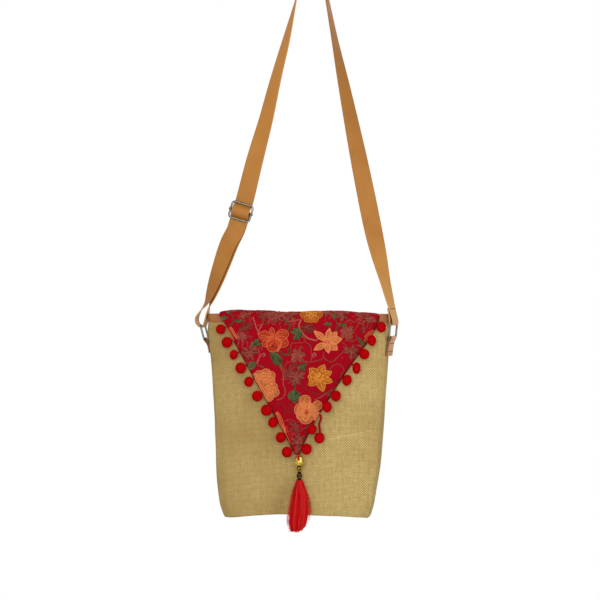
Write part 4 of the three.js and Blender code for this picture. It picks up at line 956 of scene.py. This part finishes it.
STRANDS, STRAND, STRAND_KNOTS = 640, 0.34, 11
STRAY_STRANDS, STRAY_STRAND = 90, 0.15
SKIRT_END, RIGHT_SHORT, STRAY_END = (63, 69.5), 8, (-12, 3)  # the cut is uneven, and shorter on the right
WAVE_LONG, LOCK_LONG = 7, 60  # a thread waves, and drifts from its place as it falls
UPRIGHT, SIDEWAYS = (Matrix.Rotation(math.pi / 2, 4, way) for way in "XY")  # they turn what lies flat


def metal(name, bright, shade, rough):
    """Plated metal with patches of tarnish and a slightly uneven polish."""
    material, tree = new_material(name)
    place = node(tree, "TexCoord", {}).outputs["Object"]
    cloud = node(tree, "TexNoise", {"Vector": place, "Scale": 1 / TARNISH, "Detail": 4.0, "Roughness": 0.6})
    share = node(tree, "MapRange", {"Value": cloud, "From Min": 0.45, "From Max": 0.75})
    plate = node(tree, "Mix", {"Factor": share, "A": linear(bright), "B": linear(shade)}, data_type="RGBA")
    polish = node(tree, "MapRange", {"Value": cloud, "To Min": rough - 0.08, "To Max": rough + 0.12})
    bump = node(tree, "Bump", {"Height": cloud, "Distance": 0.05 * MM, "Strength": 0.4})
    shader = node(tree, "BsdfPrincipled", {
        "Base Color": plate, "Metallic": 1.0, "Roughness": polish, "Normal": bump,
    })
    node(tree, "OutputMaterial", {"Surface": shader})
    return material


def turned(bm, outline, centre, steps=42):
    """An outline of radii and heights in mm, turned about an upright axis."""
    verts = [bm.verts.new(centre + mm(r, 0, z)) for r, z in outline]
    edges = [bm.edges.new(pair) for pair in zip(verts, verts[1:] + verts[:1])]
    bmesh.ops.spin(
        bm, geom=verts + edges, cent=centre, axis=(0, 0, 1), angle=2 * math.pi, steps=steps, use_merge=True
    )


def hoop(bm, radius, wire, matrix, steps=20, sides=8):
    """A ring of round wire, sizes in mm, lying flat before it is placed."""
    stand = Matrix.Translation((radius * MM, 0, 0)) @ UPRIGHT
    section = bmesh.ops.create_circle(bm, segments=sides, radius=wire * MM, matrix=stand)["verts"]
    edges = list({e for v in section for e in v.link_edges})
    before = set(bm.verts) - set(section)
    bmesh.ops.spin(
        bm, geom=section + edges, cent=(0, 0, 0), axis=(0, 0, 1), angle=2 * math.pi, steps=steps,
        use_merge=True,
    )
    bmesh.ops.transform(bm, matrix=matrix, verts=[v for v in bm.verts if v not in before])


def add_metal(name, bm, plate, slot, *nodes):
    """A piece of turned or bent metal, with its faces set to look outwards."""
    bmesh.ops.recalc_face_normals(bm, faces=bm.faces)
    add_piece(name, bm, [plate], slot, *nodes)


def on_axis(z, turn=0.0):
    """A place at a height on the tassel's axis, turned about it."""
    return Matrix.Translation(axis + mm(0, 0, z)) @ Matrix.Rotation(turn, 4, "Z")


tassel_flosses, tassel_mix = [], []
for i, (tone, colour, deep, share) in enumerate(TASSEL_TONES):
    tassel_flosses.append(spun_thread(f"{tone}_red_viscose_thread", colour, deep, 1.1 * MM, 0.45, 0.1))
    tassel_mix += [i] * share
cord_floss = spun_thread("twisted_viscose_cord", CORD_RED, TASSEL_DEEP, 0.7 * MM, 0.5, 0.1)
gold = metal("gold_plated_brass", GOLD_PALE, GOLD_SHADE, 0.2)
# gold drawn dark for the small rings, the bead's eyes and the ferrule: painted dark reflection
gold_painted_dark = metal("gold_with_painted_dark_reflection", GOLD_DARK_REFLECTION, GOLD_DARKEST_REFLECTION, 0.35)

low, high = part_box("gold_cap")
axis = Vector(((low.x + high.x) / 2, (low.y + high.y) / 2, 0))
cap_top, cap_foot = high.z / MM, low.z / MM
low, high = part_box("tassel_cord")
cord_top, cord_foot = high.z / MM, low.z / MM
cord = thread_lines("tassel_cord_plies", [cord_floss])
for ply in range(CORD["plies"]):
    points = []
    for i in range(CORD["knots"]):
        down = (cord_top - cord_foot - CORD["foot"]) * i / (CORD["knots"] - 1)
        turn = 2 * math.pi * (down / CORD["turn"] + ply / CORD["plies"])
        x, y = CORD["round"] * math.cos(turn), CORD["round"] * math.sin(turn)
        points.append(axis + mm(x, y + CORD_SWAY * max(0, 1 - down / CORD_SWAY_LONG), cord_top - down))
    add_line(cord, points, CORD["ply"])
for i in range(TIE_ENDS):
    lean = (i / (TIE_ENDS - 1) - 0.5) * 2
    ends = [(0.3, -0.6, 5.6), (0.8, -3.6, 4), (1.1, -6.2, 1.6), (1.3, -6.5, -1 - i % 3)]
    add_line(cord, bend([axis + mm(lean * x, y, cap_top + z) for x, y, z in ends], 6), TIE_END)
add_threads(cord, "tassel_thread", "tassel_cord")

bm = bmesh.new()
turned(bm, CAP, axis + mm(0, 0, cap_top), 56)
for vert in bm.verts:
    arm = vert.co - axis
    fluted = LOBE_DEEP * part_way(vert.co.z / MM, cap_top, cap_top - LOBE_FALL)
    swell = 1 + fluted * math.cos(CAP_LOBES * math.atan2(arm.y, arm.x))
    vert.co.x, vert.co.y = axis.x + arm.x * swell, axis.y + arm.y * swell
for i in range(CAP_LOBES):
    spot = on_axis(0, 2 * math.pi * i / CAP_LOBES)
    facing = spot @ Matrix.Translation(mm(LOBE_EYE["out"], 0, cap_top - LOBE_EYE["down"])) @ SIDEWAYS
    hoop(bm, LOBE_EYE["round"], LOBE_EYE["wire"], facing, 14, 6)
    bmesh.ops.create_icosphere(bm, subdivisions=2, radius=LOBE_EYE["grain"] * MM, matrix=facing)
for i in range(CAP_BEADS["count"]):
    spot = on_axis(0, 2 * math.pi * i / CAP_BEADS["count"])
    place = spot @ Matrix.Translation(mm(CAP_BEADS["out"], 0, cap_foot + CAP_BEADS["up"]))
    bmesh.ops.create_icosphere(bm, subdivisions=1, radius=CAP_BEADS["round"] * MM, matrix=place)
hoop(bm, CAP_RIM["round"], CAP_RIM["wire"], on_axis(cap_top + CAP_RIM["up"]), 36)
add_metal("gold_cap_filigree", bm, gold, "gold_metal", "gold_cap")

low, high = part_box("gold_bead")
bead_top, bead_high = high.z / MM, (high.z - low.z) / MM
bm = bmesh.new()
outline = [(BEAD_HOLE, 0), (BEAD_NECK, 0)]
for angle in range(66, -67, -12):
    turn = math.radians(angle)
    outline.append((BEAD_ROUND * math.cos(turn), bead_high / 2 * (math.sin(turn) - 1)))
outline += [(BEAD_NECK, -bead_high), (BEAD_HOLE, -bead_high)]
turned(bm, outline, axis + mm(0, 0, bead_top))
for z in (bead_top - BEAD_RIM["in"], bead_top - bead_high + BEAD_RIM["in"]):
    hoop(bm, BEAD_RIM["round"], BEAD_RIM["wire"], on_axis(z), 24)
eye_at = mm(BEAD_EYE["out"], BEAD_EYE["aside"], bead_top - bead_high / 2 + BEAD_EYE["up"])
eyes = [on_axis(0, turn) @ Matrix.Translation(eye_at) @ SIDEWAYS for turn in (-math.pi / 2, math.pi / 2)]
for eye in eyes:
    bmesh.ops.create_icosphere(bm, subdivisions=2, radius=BEAD_EYE["pupil"] * MM, matrix=eye)
add_metal("gold_bead_turned", bm, gold, "gold_metal", "gold_bead")
bm = bmesh.new()
for eye in eyes:
    hoop(bm, BEAD_EYE["round"], BEAD_EYE["wire"], eye)
add_metal("gold_bead_eyes", bm, gold_painted_dark, "gold_metal")

bm = bmesh.new()
low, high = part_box("jump_ring")
for angle, rise_by, radius in JUMP_RINGS:
    swing = on_axis((low.z + high.z) / 2 / MM + rise_by, math.radians(angle))
    hoop(bm, radius, JUMP_WIRE, swing @ UPRIGHT, 24)
hoop(bm, CORD_EYE["round"], CORD_EYE["wire"], on_axis(cord_foot + CORD_EYE["up"]) @ UPRIGHT)
add_metal("jump_rings", bm, gold_painted_dark, "gold_metal", "jump_ring")

low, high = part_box("tassel_cap")
bm = bmesh.new()
turned(bm, FERRULE, axis + Vector((0, 0, low.z)), 36)
eye = on_axis(high.z / MM - FERRULE_EYE["down"]) @ UPRIGHT
hoop(bm, FERRULE_EYE["round"], FERRULE_EYE["wire"], eye)
bmesh.ops.remove_doubles(bm, verts=bm.verts, dist=0.02 * MM)
add_metal("tassel_ferrule", bm, gold_painted_dark, "gold_metal", "tassel_cap")

low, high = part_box("tassel_skirt")
skirt_top = high.z / MM + SKIRT_OVER
dice = random.Random(23)
skirt = thread_lines("tassel_threads", tassel_flosses)
skirt.bevel_resolution = 0
for i in range(STRANDS + STRAY_STRANDS):
    stray = i >= STRANDS
    angle = dice.uniform(0, 2 * math.pi)
    out = dice.uniform(1.0, 1.35) if stray else math.sqrt(dice.uniform(0.02, 1.0))
    to_right = max(0, out * math.cos(angle))
    end = dice.uniform(*SKIRT_END) - RIGHT_SHORT * to_right ** 2 + (dice.uniform(*STRAY_END) if stray else 0)
    lock = dice.gauss(0, 0.5)
    wave, phase = dice.uniform(0.1, 0.5), dice.uniform(0, 6)
    points, widths = [], []
    for k in range(STRAND_KNOTS):
        fall = end * k / (STRAND_KNOTS - 1)
        wide, deep, lean = (from_table(SKIRT, fall, column) for column in (1, 2, 3))
        drift = fall / LOCK_LONG * lock + wave * math.sin(fall / WAVE_LONG + phase) * (k > 1)
        x = lean + wide * out * math.cos(angle) + drift
        y = deep * out * math.sin(angle) * (1 if math.sin(angle) < 0 else 0.85) + 0.4 * drift
        points.append(axis + mm(x, y, skirt_top - fall))
        widths.append((STRAY_STRAND if stray else STRAND) * (1 if k < STRAND_KNOTS - 1 else 0.6))
    add_line(skirt, points, widths, dice.choice(tassel_mix))
add_threads(skirt, "tassel_thread", "tassel_skirt")


# Rings and tabs
# At each side a rectangular ring of bent nickel-plated wire, and a tan leather tab folded round its lower
# bar, its two layers sewn flat on the pouch with two rows of thread.
# The nickel's grey is warmed: painted reflection of the tan strap.
NICKEL_PALE, NICKEL_SHADE = "#8f8b7c", "#4a463c"
WIRE = 1.4
RING = {"wide": 30.2, "tall": 20, "corner": 2.4}
TAB_TAN, TAB_DEEP, TAB_THREAD = "#cd9f74", "#b08257", "#85552c"
TAB_WIDTH, TAB_THICK = 23, 1.5
TAB_NECK, NECK_FROM, NECK_TO = 0.8, -2, -9  # it narrows to that share, and twists, between those heights
TAB_WRAP = [(-2.45, 0), (-1.7, 1.75), (0, 2.45), (1.7, 1.75), (2.4, 0)]  # out and up, round the lower bar
WRAP_UP, BEND_UP, FOOT_UPS = -4, -9.5, (0, 0.8, 3)  # heights on its back layer, the last above its end
FORE_SOFT = 14  # its foot goes to the front over that height
# On each side: the way out, the turn of the ring and the twist of the tab; how far out the tab's back layer
# is where it bends and at its foot, how far that foot goes to the back, and the tab's length.
SIDES = {
    "left": {"out": -1, "turn": -1, "twist": -11, "bend": -4.8, "foot": -5.9, "fore": 0, "long": 18.5},
    "right": {"out": 1, "turn": 12, "twist": 5, "bend": -3.6, "foot": -5.5, "fore": -7, "long": 24.2},
}
TAB_SEAMS = (7.4, 6.2)  # below the bar, and above the tab's end
SEAM_IN, SEAM_KNOTS = 1.6, 8  # in from the tab's sides, and points from its middle to one
TAB_STITCH = {"long": 2.4 * MM, "thick": 0.55 * MM, "pitch": 2.7 * MM}


def wire_frame(bm, wide, tall, corner, radius, matrix):
    """A rectangle of round wire, bent round its four corners; it lies in XY before it is placed."""
    before = set(bm.verts)
    stand = Matrix.Translation(mm(wide / 2, corner - tall / 2, 0)) @ UPRIGHT
    section = bmesh.ops.create_circle(bm, segments=12, radius=radius * MM, matrix=stand)["verts"]
    edges = list({e for v in section for e in v.link_edges})
    for quarter in range(4):
        straight = (wide if quarter % 2 else tall) - 2 * corner
        heading = Matrix.Rotation(quarter * math.pi / 2, 3, "Z") @ Vector((0, 1, 0))
        made = bmesh.ops.extrude_edge_only(bm, edges=edges)["geom"]
        verts = [g for g in made if isinstance(g, bmesh.types.BMVert)]
        bmesh.ops.translate(bm, vec=heading * straight * MM, verts=verts)
        edges = [g for g in made if isinstance(g, bmesh.types.BMEdge) and all(v in verts for v in g.verts)]
        x, y = ((1, 1), (-1, 1), (-1, -1), (1, -1))[quarter]
        bend_at = mm(x * (wide / 2 - corner), y * (tall / 2 - corner), 0)
        made = bmesh.ops.spin(
            bm, geom=verts + edges, cent=bend_at, axis=(0, 0, 1), angle=math.pi / 2, steps=6, use_merge=False
        )["geom_last"]
        edges = [g for g in made if isinstance(g, bmesh.types.BMEdge)]
    fresh = [v for v in bm.verts if v not in before]
    bmesh.ops.remove_doubles(bm, verts=fresh, dist=0.01 * MM)
    bmesh.ops.transform(bm, matrix=matrix, verts=[v for v in bm.verts if v not in before])


def sweep(bm, outline, places):
    """A band carried through its places, each its middle, the way of its width, the way out and a share of
    its width. Its map holds the distance across and along it."""
    along = bm.loops.layers.uv.new("band")
    ring = bmesh.ops.create_circle(bm, segments=len(outline), radius=MM)["verts"]
    edges = list({e for v in ring for e in v.link_edges})
    start, spots, gone, last = edges, {}, 0, None
    for middle, width, out, share in places:
        if last is not None:
            made = bmesh.ops.extrude_edge_only(bm, edges=edges)["geom"]
            fresh = {g for g in made if isinstance(g, bmesh.types.BMVert)}
            ring = [next(e.other_vert(v) for e in v.link_edges if e.other_vert(v) in fresh) for v in ring]
            edges = [
                g for g in made if isinstance(g, bmesh.types.BMEdge) and all(v in fresh for v in g.verts)
            ]
            gone += (middle - last).length
        for vert, (a, b) in zip(ring, outline):
            vert.co = middle + width * a * share * MM + out * b * MM
            spots[vert] = (a * MM, gone)
        last = middle
    bmesh.ops.edgeloop_fill(bm, edges=start + edges)
    bmesh.ops.recalc_face_normals(bm, faces=bm.faces)
    for face in bm.faces:
        for loop in face.loops:
            loop[along].uv = spots[loop.vert]


def band(width, thick, edge=0.45):
    """The outline of a flat band with softened edges."""
    w, t = width / 2, thick / 2
    top = [(-w, t - edge), (edge - w, t), (-w / 2, t), (0, t), (w / 2, t), (w - edge, t), (w, t - edge)]
    return top + [(a, -b) for a, b in reversed(top)]


nickel = metal("nickel_plated_wire", NICKEL_PALE, NICKEL_SHADE, 0.26)
tab_leather = leather("tan_tab_leather", TAB_TAN, TAB_DEEP, 0.5, TAB_WIDTH / 2 * MM)
brown_linen = spun_thread("waxed_brown_thread", TAB_THREAD, BINDING_DEEP, 0.6 * MM, 0.6, 0.2)
ring_at = {}
for name, side in SIDES.items():
    turn = math.radians(side["turn"])
    points = [v.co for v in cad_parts["ring_" + name].data.vertices]
    centre = ring_at[name] = sum(points, Vector()) / len(points)
    upper = [p for p in points if p.z > centre.z]
    bar = Vector((math.sin(turn), math.cos(turn), 0))
    rise = sum(upper, Vector()) / len(upper) - centre
    rise = (rise - bar * rise.dot(bar)).normalized()
    frame_way = Matrix((bar, rise, bar.cross(rise))).transposed().to_4x4()
    bm = bmesh.new()
    wire_frame(bm, RING["wide"], RING["tall"], RING["corner"], WIRE, Matrix.Translation(centre) @ frame_way)
    add_metal(f"ring_{name}_wire", bm, nickel, "nickel_wire", "ring_" + name)

    lower = centre - rise * RING["tall"] / 2 * MM
    back = [(side["foot"], rise_by - side["long"]) for rise_by in FOOT_UPS]
    back += [(side["bend"], BEND_UP), ((side["bend"] - TAB_WRAP[-1][0]) / 2, WRAP_UP)]
    fold = [(out + TAB_THICK / 2, up) for out, up in back]
    fold += TAB_WRAP + [(out + 1.5 * TAB_THICK, up) for out, up in reversed(back)]
    path, ways = [], []
    for out, up in fold:
        down = part_way(up, NECK_FROM, NECK_TO)
        swing = Matrix.Rotation(-turn - math.radians(side["twist"]) * down, 3, "Z")
        fore = side["fore"] * part_way(up, 0, -FORE_SOFT)
        path.append(lower + mm(0, fore, 0) + swing @ mm(side["out"] * out, 0, up))
        ways.append((swing @ Vector((0, 1, 0)), 1 + (TAB_NECK - 1) * down))
    places = [
        (middle, way, way.cross(ahead - behind).normalized(), share)
        for middle, (way, share), (behind, ahead) in zip(path, ways, neighbours(path))
    ]
    bm = bmesh.new()
    sweep(bm, band(TAB_WIDTH, TAB_THICK), places)
    bm = rounded(bm, 2)
    tab_tree = BVHTree.FromBMesh(bm)
    add_piece(f"tab_{name}_leather", bm, [tab_leather], "binding_leather", "tab_" + name)
    bm = bmesh.new()
    way = ways[-1][0]
    outward = Vector((way.y, -way.x, 0)) * side["out"]
    reach = TAB_WIDTH * TAB_NECK / 2 - SEAM_IN
    for z in (-TAB_SEAMS[0], TAB_SEAMS[1] - side["long"]):
        start = lower + outward * TAB_WIDTH * MM + mm(0, side["fore"] * part_way(z, 0, -FORE_SOFT), z)
        hits = [
            tab_tree.ray_cast(start + way * reach * k / SEAM_KNOTS * MM, -outward)
            for k in range(-SEAM_KNOTS, SEAM_KNOTS + 1)
        ]
        sew(bm, [h[0] for h in hits], [h[1] for h in hits], TAB_STITCH)
    add_piece(f"tab_{name}_stitches", bm, [brown_linen], "binding_leather")


# Slider
# A nickel-plated wire frame with a middle bar, whose ends are curled round the frame, threaded on the
# left side of the strap to set its length.
SLIDER = {"wide": 29.8, "tall": 22.4, "corner": 4}
SLIDER_TILT = math.radians(17.1)
BAR_SHORT, BAR_SIDES = 2, 14  # the bar ends inside the frame's wire
CURL = {"round": 1.8, "wire": 0.75, "turns": (-1.1, 0, 1.1)}  # three turns of wire, at those heights

low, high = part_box("slider")
up = Vector((math.sin(SLIDER_TILT), 0, math.cos(SLIDER_TILT)))
wide = Vector((math.cos(SLIDER_TILT), 0, -math.sin(SLIDER_TILT)))
stand = Matrix.Translation((low + high) / 2) @ Matrix((wide, up, wide.cross(up))).transposed().to_4x4()
bm = bmesh.new()
wire_frame(bm, SLIDER["wide"], SLIDER["tall"], SLIDER["corner"], WIRE, stand)
bmesh.ops.create_cone(
    bm, segments=BAR_SIDES, cap_ends=True, radius1=WIRE * MM, radius2=WIRE * MM,
    depth=(SLIDER["wide"] - BAR_SHORT) * MM, matrix=stand @ SIDEWAYS,
)
for x in (-SLIDER["wide"] / 2, SLIDER["wide"] / 2):
    for y in CURL["turns"]:
        hoop(bm, CURL["round"], CURL["wire"], stand @ Matrix.Translation(mm(x, y, 0)) @ UPRIGHT)
add_metal("slider_wire", bm, nickel, "nickel_wire", "slider")


# Strap
# One long band of tan leather, 25 mm wide: from the slider round the left ring, back through the slider,
# over the shoulder, and round the right ring, where its end is sewn down behind.
STRAP_WIDTH, STRAP_THICK, STRAP_SOFT = 25, 1.8, 0.5  # the last for its rounded edges
STRAP_TAN, STRAP_DEEP, STRAP_EDGE = "#b47936", "#a2692b", "#a96f31"
STRAP_CUT = 1.6  # how far in its edges are dark
FIBRE, STRAP_CLOUD = (0.8 * MM, 9 * MM), 35 * MM  # width and length of the leather's fibres; patches of dye
STRAP_PAINTED_LIGHT = [  # painted light and shade: a colour, where it sets in across the bag and in height, its share
    ("#d29a52", (0.04, 0.09), (-0.37, -0.47), 0.8), ("#cd8c43", (0.01, -0.01), (-0.33, -0.12), 0.8),
    ("#a06a2f", (-0.01, 0.01), (-0.33, -0.12), 0.6),
]
STRAP_END_Z, STRAP_FLESH_AND_PAINTED_LIGHT = -471, "#c9995e"  # below this the right end is turned, flesh side out; the left loop takes the same paler colour as painted light
STRAP_SIDES = (0.09, 0.1)  # the left loop and the right end are further out than this
STRAP_SEAM_Z, STRAP_SEAM_HALF = -473.5, 10
END_TWIST = {"turn": math.radians(8), "top": -430, "foot": -482}  # the right end follows its ring
LOOP_EASE = {"wide": 1.6, "tall": 34}  # how far the left loop stands open, and over what height

# The strap's leather is smoother than the tabs', with a straight fibre and edges dyed darker.
strap_leather, tree = new_material("tan_strap_leather")
place = node(tree, "UVMap", {}, uv_map="band")
fibre_way = node(tree, "VectorMath", {0: place, 1: (1 / FIBRE[0], 1 / FIBRE[1], 1.0)}, operation="MULTIPLY")
fibre = node(tree, "TexNoise", {"Vector": fibre_way, "Scale": 1.0, "Detail": 4.0, "Roughness": 0.65})
solid = node(tree, "TexCoord", {}).outputs["Object"]
cloud = node(tree, "TexNoise", {"Vector": solid, "Scale": 1 / STRAP_CLOUD, "Detail": 3.0})
mixed = node(tree, "Math", {0: cloud, 1: 0.9, 2: fibre}, operation="MULTIPLY_ADD")
dye = node(tree, "MapRange", {"Value": mixed, "From Min": 0.65, "From Max": 1.25})
skin = node(tree, "Mix", {"Factor": dye, "A": linear(STRAP_TAN), "B": linear(STRAP_DEEP)}, data_type="RGBA")
on_band = node(tree, "SeparateXYZ", {0: place}).outputs["X"]
from_middle = node(tree, "Math", {0: on_band}, operation="ABSOLUTE")
edge = node(tree, "MapRange", {
    "Value": from_middle, "From Min": (STRAP_WIDTH / 2 - STRAP_CUT) * MM, "From Max": STRAP_WIDTH / 2 * MM,
    "To Max": 0.85,
})
dyed = node(tree, "Mix", {"Factor": edge, "A": skin, "B": linear(STRAP_EDGE)}, data_type="RGBA")
spot = node(tree, "SeparateXYZ", {0: solid})
# Painted light and shade: the left run and the lower right end are painted lighter, the upper right run
# darker.
for tint, sideways, height, most in STRAP_PAINTED_LIGHT:
    tone_mask = node(tree, "MapRange", {
        "Value": spot.outputs["X"], "From Min": sideways[0], "From Max": sideways[1],
    })
    share = node(tree, "MapRange", {
        "Value": spot.outputs["Z"], "From Min": height[0], "From Max": height[1], "To Max": most,
    })
    share = node(tree, "Math", {0: tone_mask, 1: share}, operation="MULTIPLY")
    dyed = node(tree, "Mix", {"Factor": share, "A": dyed, "B": linear(tint)}, data_type="RGBA")
# The right end's flesh side, and the same paler colour on the left loop as painted light over its shaded
# faces.
from_peg = node(tree, "Math", {0: spot.outputs["X"]}, operation="ABSOLUTE")
outer = node(tree, "MapRange", {"Value": from_peg, "From Min": STRAP_SIDES[0], "From Max": STRAP_SIDES[1]})
lower = node(tree, "MapRange", {
    "Value": spot.outputs["Z"], "From Min": STRAP_END_Z * MM, "From Max": (STRAP_END_Z - 1) * MM,
})
flesh_and_painted_light = node(tree, "Math", {0: outer, 1: lower}, operation="MULTIPLY")
dyed = node(tree, "Mix", {"Factor": flesh_and_painted_light, "A": dyed, "B": linear(STRAP_FLESH_AND_PAINTED_LIGHT)}, data_type="RGBA")
bump = node(tree, "Bump", {"Height": fibre, "Distance": 0.1 * MM, "Strength": 0.25})
shader = node(tree, "BsdfPrincipled", {
    "Base Color": dyed, "Roughness": 0.55, "Normal": bump, "Specular IOR Level": 0.2,
})
node(tree, "OutputMaterial", {"Surface": shader})

bm = bmesh.new()
bm.from_mesh(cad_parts["strap"].data)
bmesh.ops.remove_doubles(bm, verts=bm.verts, dist=0.001 * MM)
start = min((v for v in bm.verts if len(v.link_edges) == 4), key=lambda v: v.co.z)
seen, layer, sections = {start}, {start}, []
while True:
    layer = {e.other_vert(v) for v in layer for e in v.link_edges} - seen
    if len(layer) < 4:
        break
    seen |= layer
    sections.append([v.co.copy() for v in layer])
bm.free()
centres, widths = [], []
for corners in sections:
    first = corners[0]
    near = min(corners[1:], key=lambda c: (c - first).length)
    others = [c for c in corners if c is not first and c is not near]
    width = ((others[0] + others[1]) - (first + near)).normalized()
    if widths and width.dot(widths[-1]) < 0:
        width.negate()
    centres.append(sum(corners, Vector()) / 4)
    widths.append(width)
lowest = min((i for i, c in enumerate(centres) if c.x < 0), key=lambda i: centres[i].z)
first_out = math.copysign(LOOP_EASE["wide"] * MM, centres[lowest - 3].x - centres[lowest + 3].x)
for i, middle in enumerate(centres):
    if middle.x < 0:
        rise = (middle.z - centres[lowest].z) / MM / LOOP_EASE["tall"]
        middle.x += (first_out if i < lowest else -first_out) * math.sin(math.pi * min(rise, 1))
        continue
    share = part_way(middle.z / MM, END_TWIST["top"], END_TWIST["foot"])
    if share > 0:
        swing = Matrix.Rotation(-END_TWIST["turn"] * share, 3, "Z")
        middle.xy = (ring_at["right"] + swing @ (middle - ring_at["right"])).xy
        widths[i] = swing @ widths[i]
places = [
    (middle, width, width.cross(ahead - behind).normalized(), 1)
    for middle, width, (behind, ahead) in zip(centres, widths, neighbours(centres))
]
bm = bmesh.new()
sweep(bm, band(STRAP_WIDTH, STRAP_THICK, STRAP_SOFT), places)
bm = rounded(bm, 2)
strap_tree = BVHTree.FromBMesh(bm)
add_piece("strap_leather_band", bm, [strap_leather], "strap_leather", "strap")

bm = bmesh.new()
seam = [mm(FAR, y, STRAP_SEAM_Z) for y in range(-STRAP_SEAM_HALF, STRAP_SEAM_HALF + 1)]
hits = [strap_tree.ray_cast(p, Vector((-1, 0, 0))) for p in seam]
sew(bm, [h[0] for h in hits], [h[1] for h in hits], TAB_STITCH)
add_piece("strap_seam_stitches", bm, [brown_linen], "strap_leather")


# Studio
# A white room: a pale floor far below the hanging bag, even light from all round, large soft lamps in front
# and behind and a smaller one from the right, as for a catalogue picture.
FLOOR_Z, FLOOR_HALF = -1.45, 1.0
FLOOR_PALE, FLOOR_DULL = "#f2f1ee", "#e9e8e4"
FLOOR_PATCHES = 3.0  # in a metre
WHITE, WALL_LIGHT, ROOM_LIGHT = (1, 1, 1, 1), 1.0, 0.6
LAMP_AIM = Vector((-0.02, 0, -0.5))
LAMPS = [  # each one's place, size and power
    ("key_lamp", (-0.05, -2.0, -0.05), 1.6, 18.6), ("fill_lamp", (1.4, -1.2, -0.3), 1.2, 8.0),
    ("back_lamp", (0.2, 2.0, -0.05), 1.6, 12.0),
]
CAMERA = {"place": (0.2847, -1.9059, -0.4619), "turn": math.radians(9), "lens": 85, "sensor": 36}

paint, tree = new_material("pale_floor_paint")
place = node(tree, "TexCoord", {}).outputs["Object"]
cloud = node(tree, "TexNoise", {"Vector": place, "Scale": FLOOR_PATCHES})
pale, darker_tone = linear(FLOOR_PALE), linear(FLOOR_DULL)
shade = node(tree, "Mix", {"Factor": cloud, "A": pale, "B": darker_tone}, data_type="RGBA")
shader = node(tree, "BsdfPrincipled", {"Base Color": shade, "Roughness": 0.8})
node(tree, "OutputMaterial", {"Surface": shader})
bm = bmesh.new()
level = Matrix.Translation((0, 0, FLOOR_Z))
bmesh.ops.create_grid(bm, x_segments=2, y_segments=2, size=FLOOR_HALF, matrix=level)
floor = set_out("floor", mesh_of("floor", bm))
floor.data.materials.append(paint)

world = bpy.data.worlds.new("white_room")
world.use_nodes = True
tree = world.node_tree
tree.nodes.clear()
seen_by = node(tree, "LightPath", {}).outputs["Is Camera Ray"]
wall = node(tree, "Background", {"Color": WHITE, "Strength": WALL_LIGHT})
room = node(tree, "Background", {"Color": WHITE, "Strength": ROOM_LIGHT})
both = node(tree, "MixShader", {0: seen_by, 1: room, 2: wall})
node(tree, "OutputWorld", {"Surface": both})
bpy.context.scene.world = world

for name, spot, size, power in LAMPS:
    light = bpy.data.lights.new(name, "AREA")
    light.size, light.energy = size, power
    lamp = set_out(name, light)
    lamp.location = spot
    lamp.rotation_euler = (LAMP_AIM - lamp.location).to_track_quat("-Z", "Y").to_euler()

lens = bpy.data.cameras.new("camera")
lens.lens, lens.sensor_width = CAMERA["lens"], CAMERA["sensor"]
camera = set_out("camera", lens)
camera.location = CAMERA["place"]
camera.rotation_euler = (math.pi / 2, 0, CAMERA["turn"])
bpy.context.scene.camera = camera
bpy.context.scene.view_settings.view_transform = "Standard"
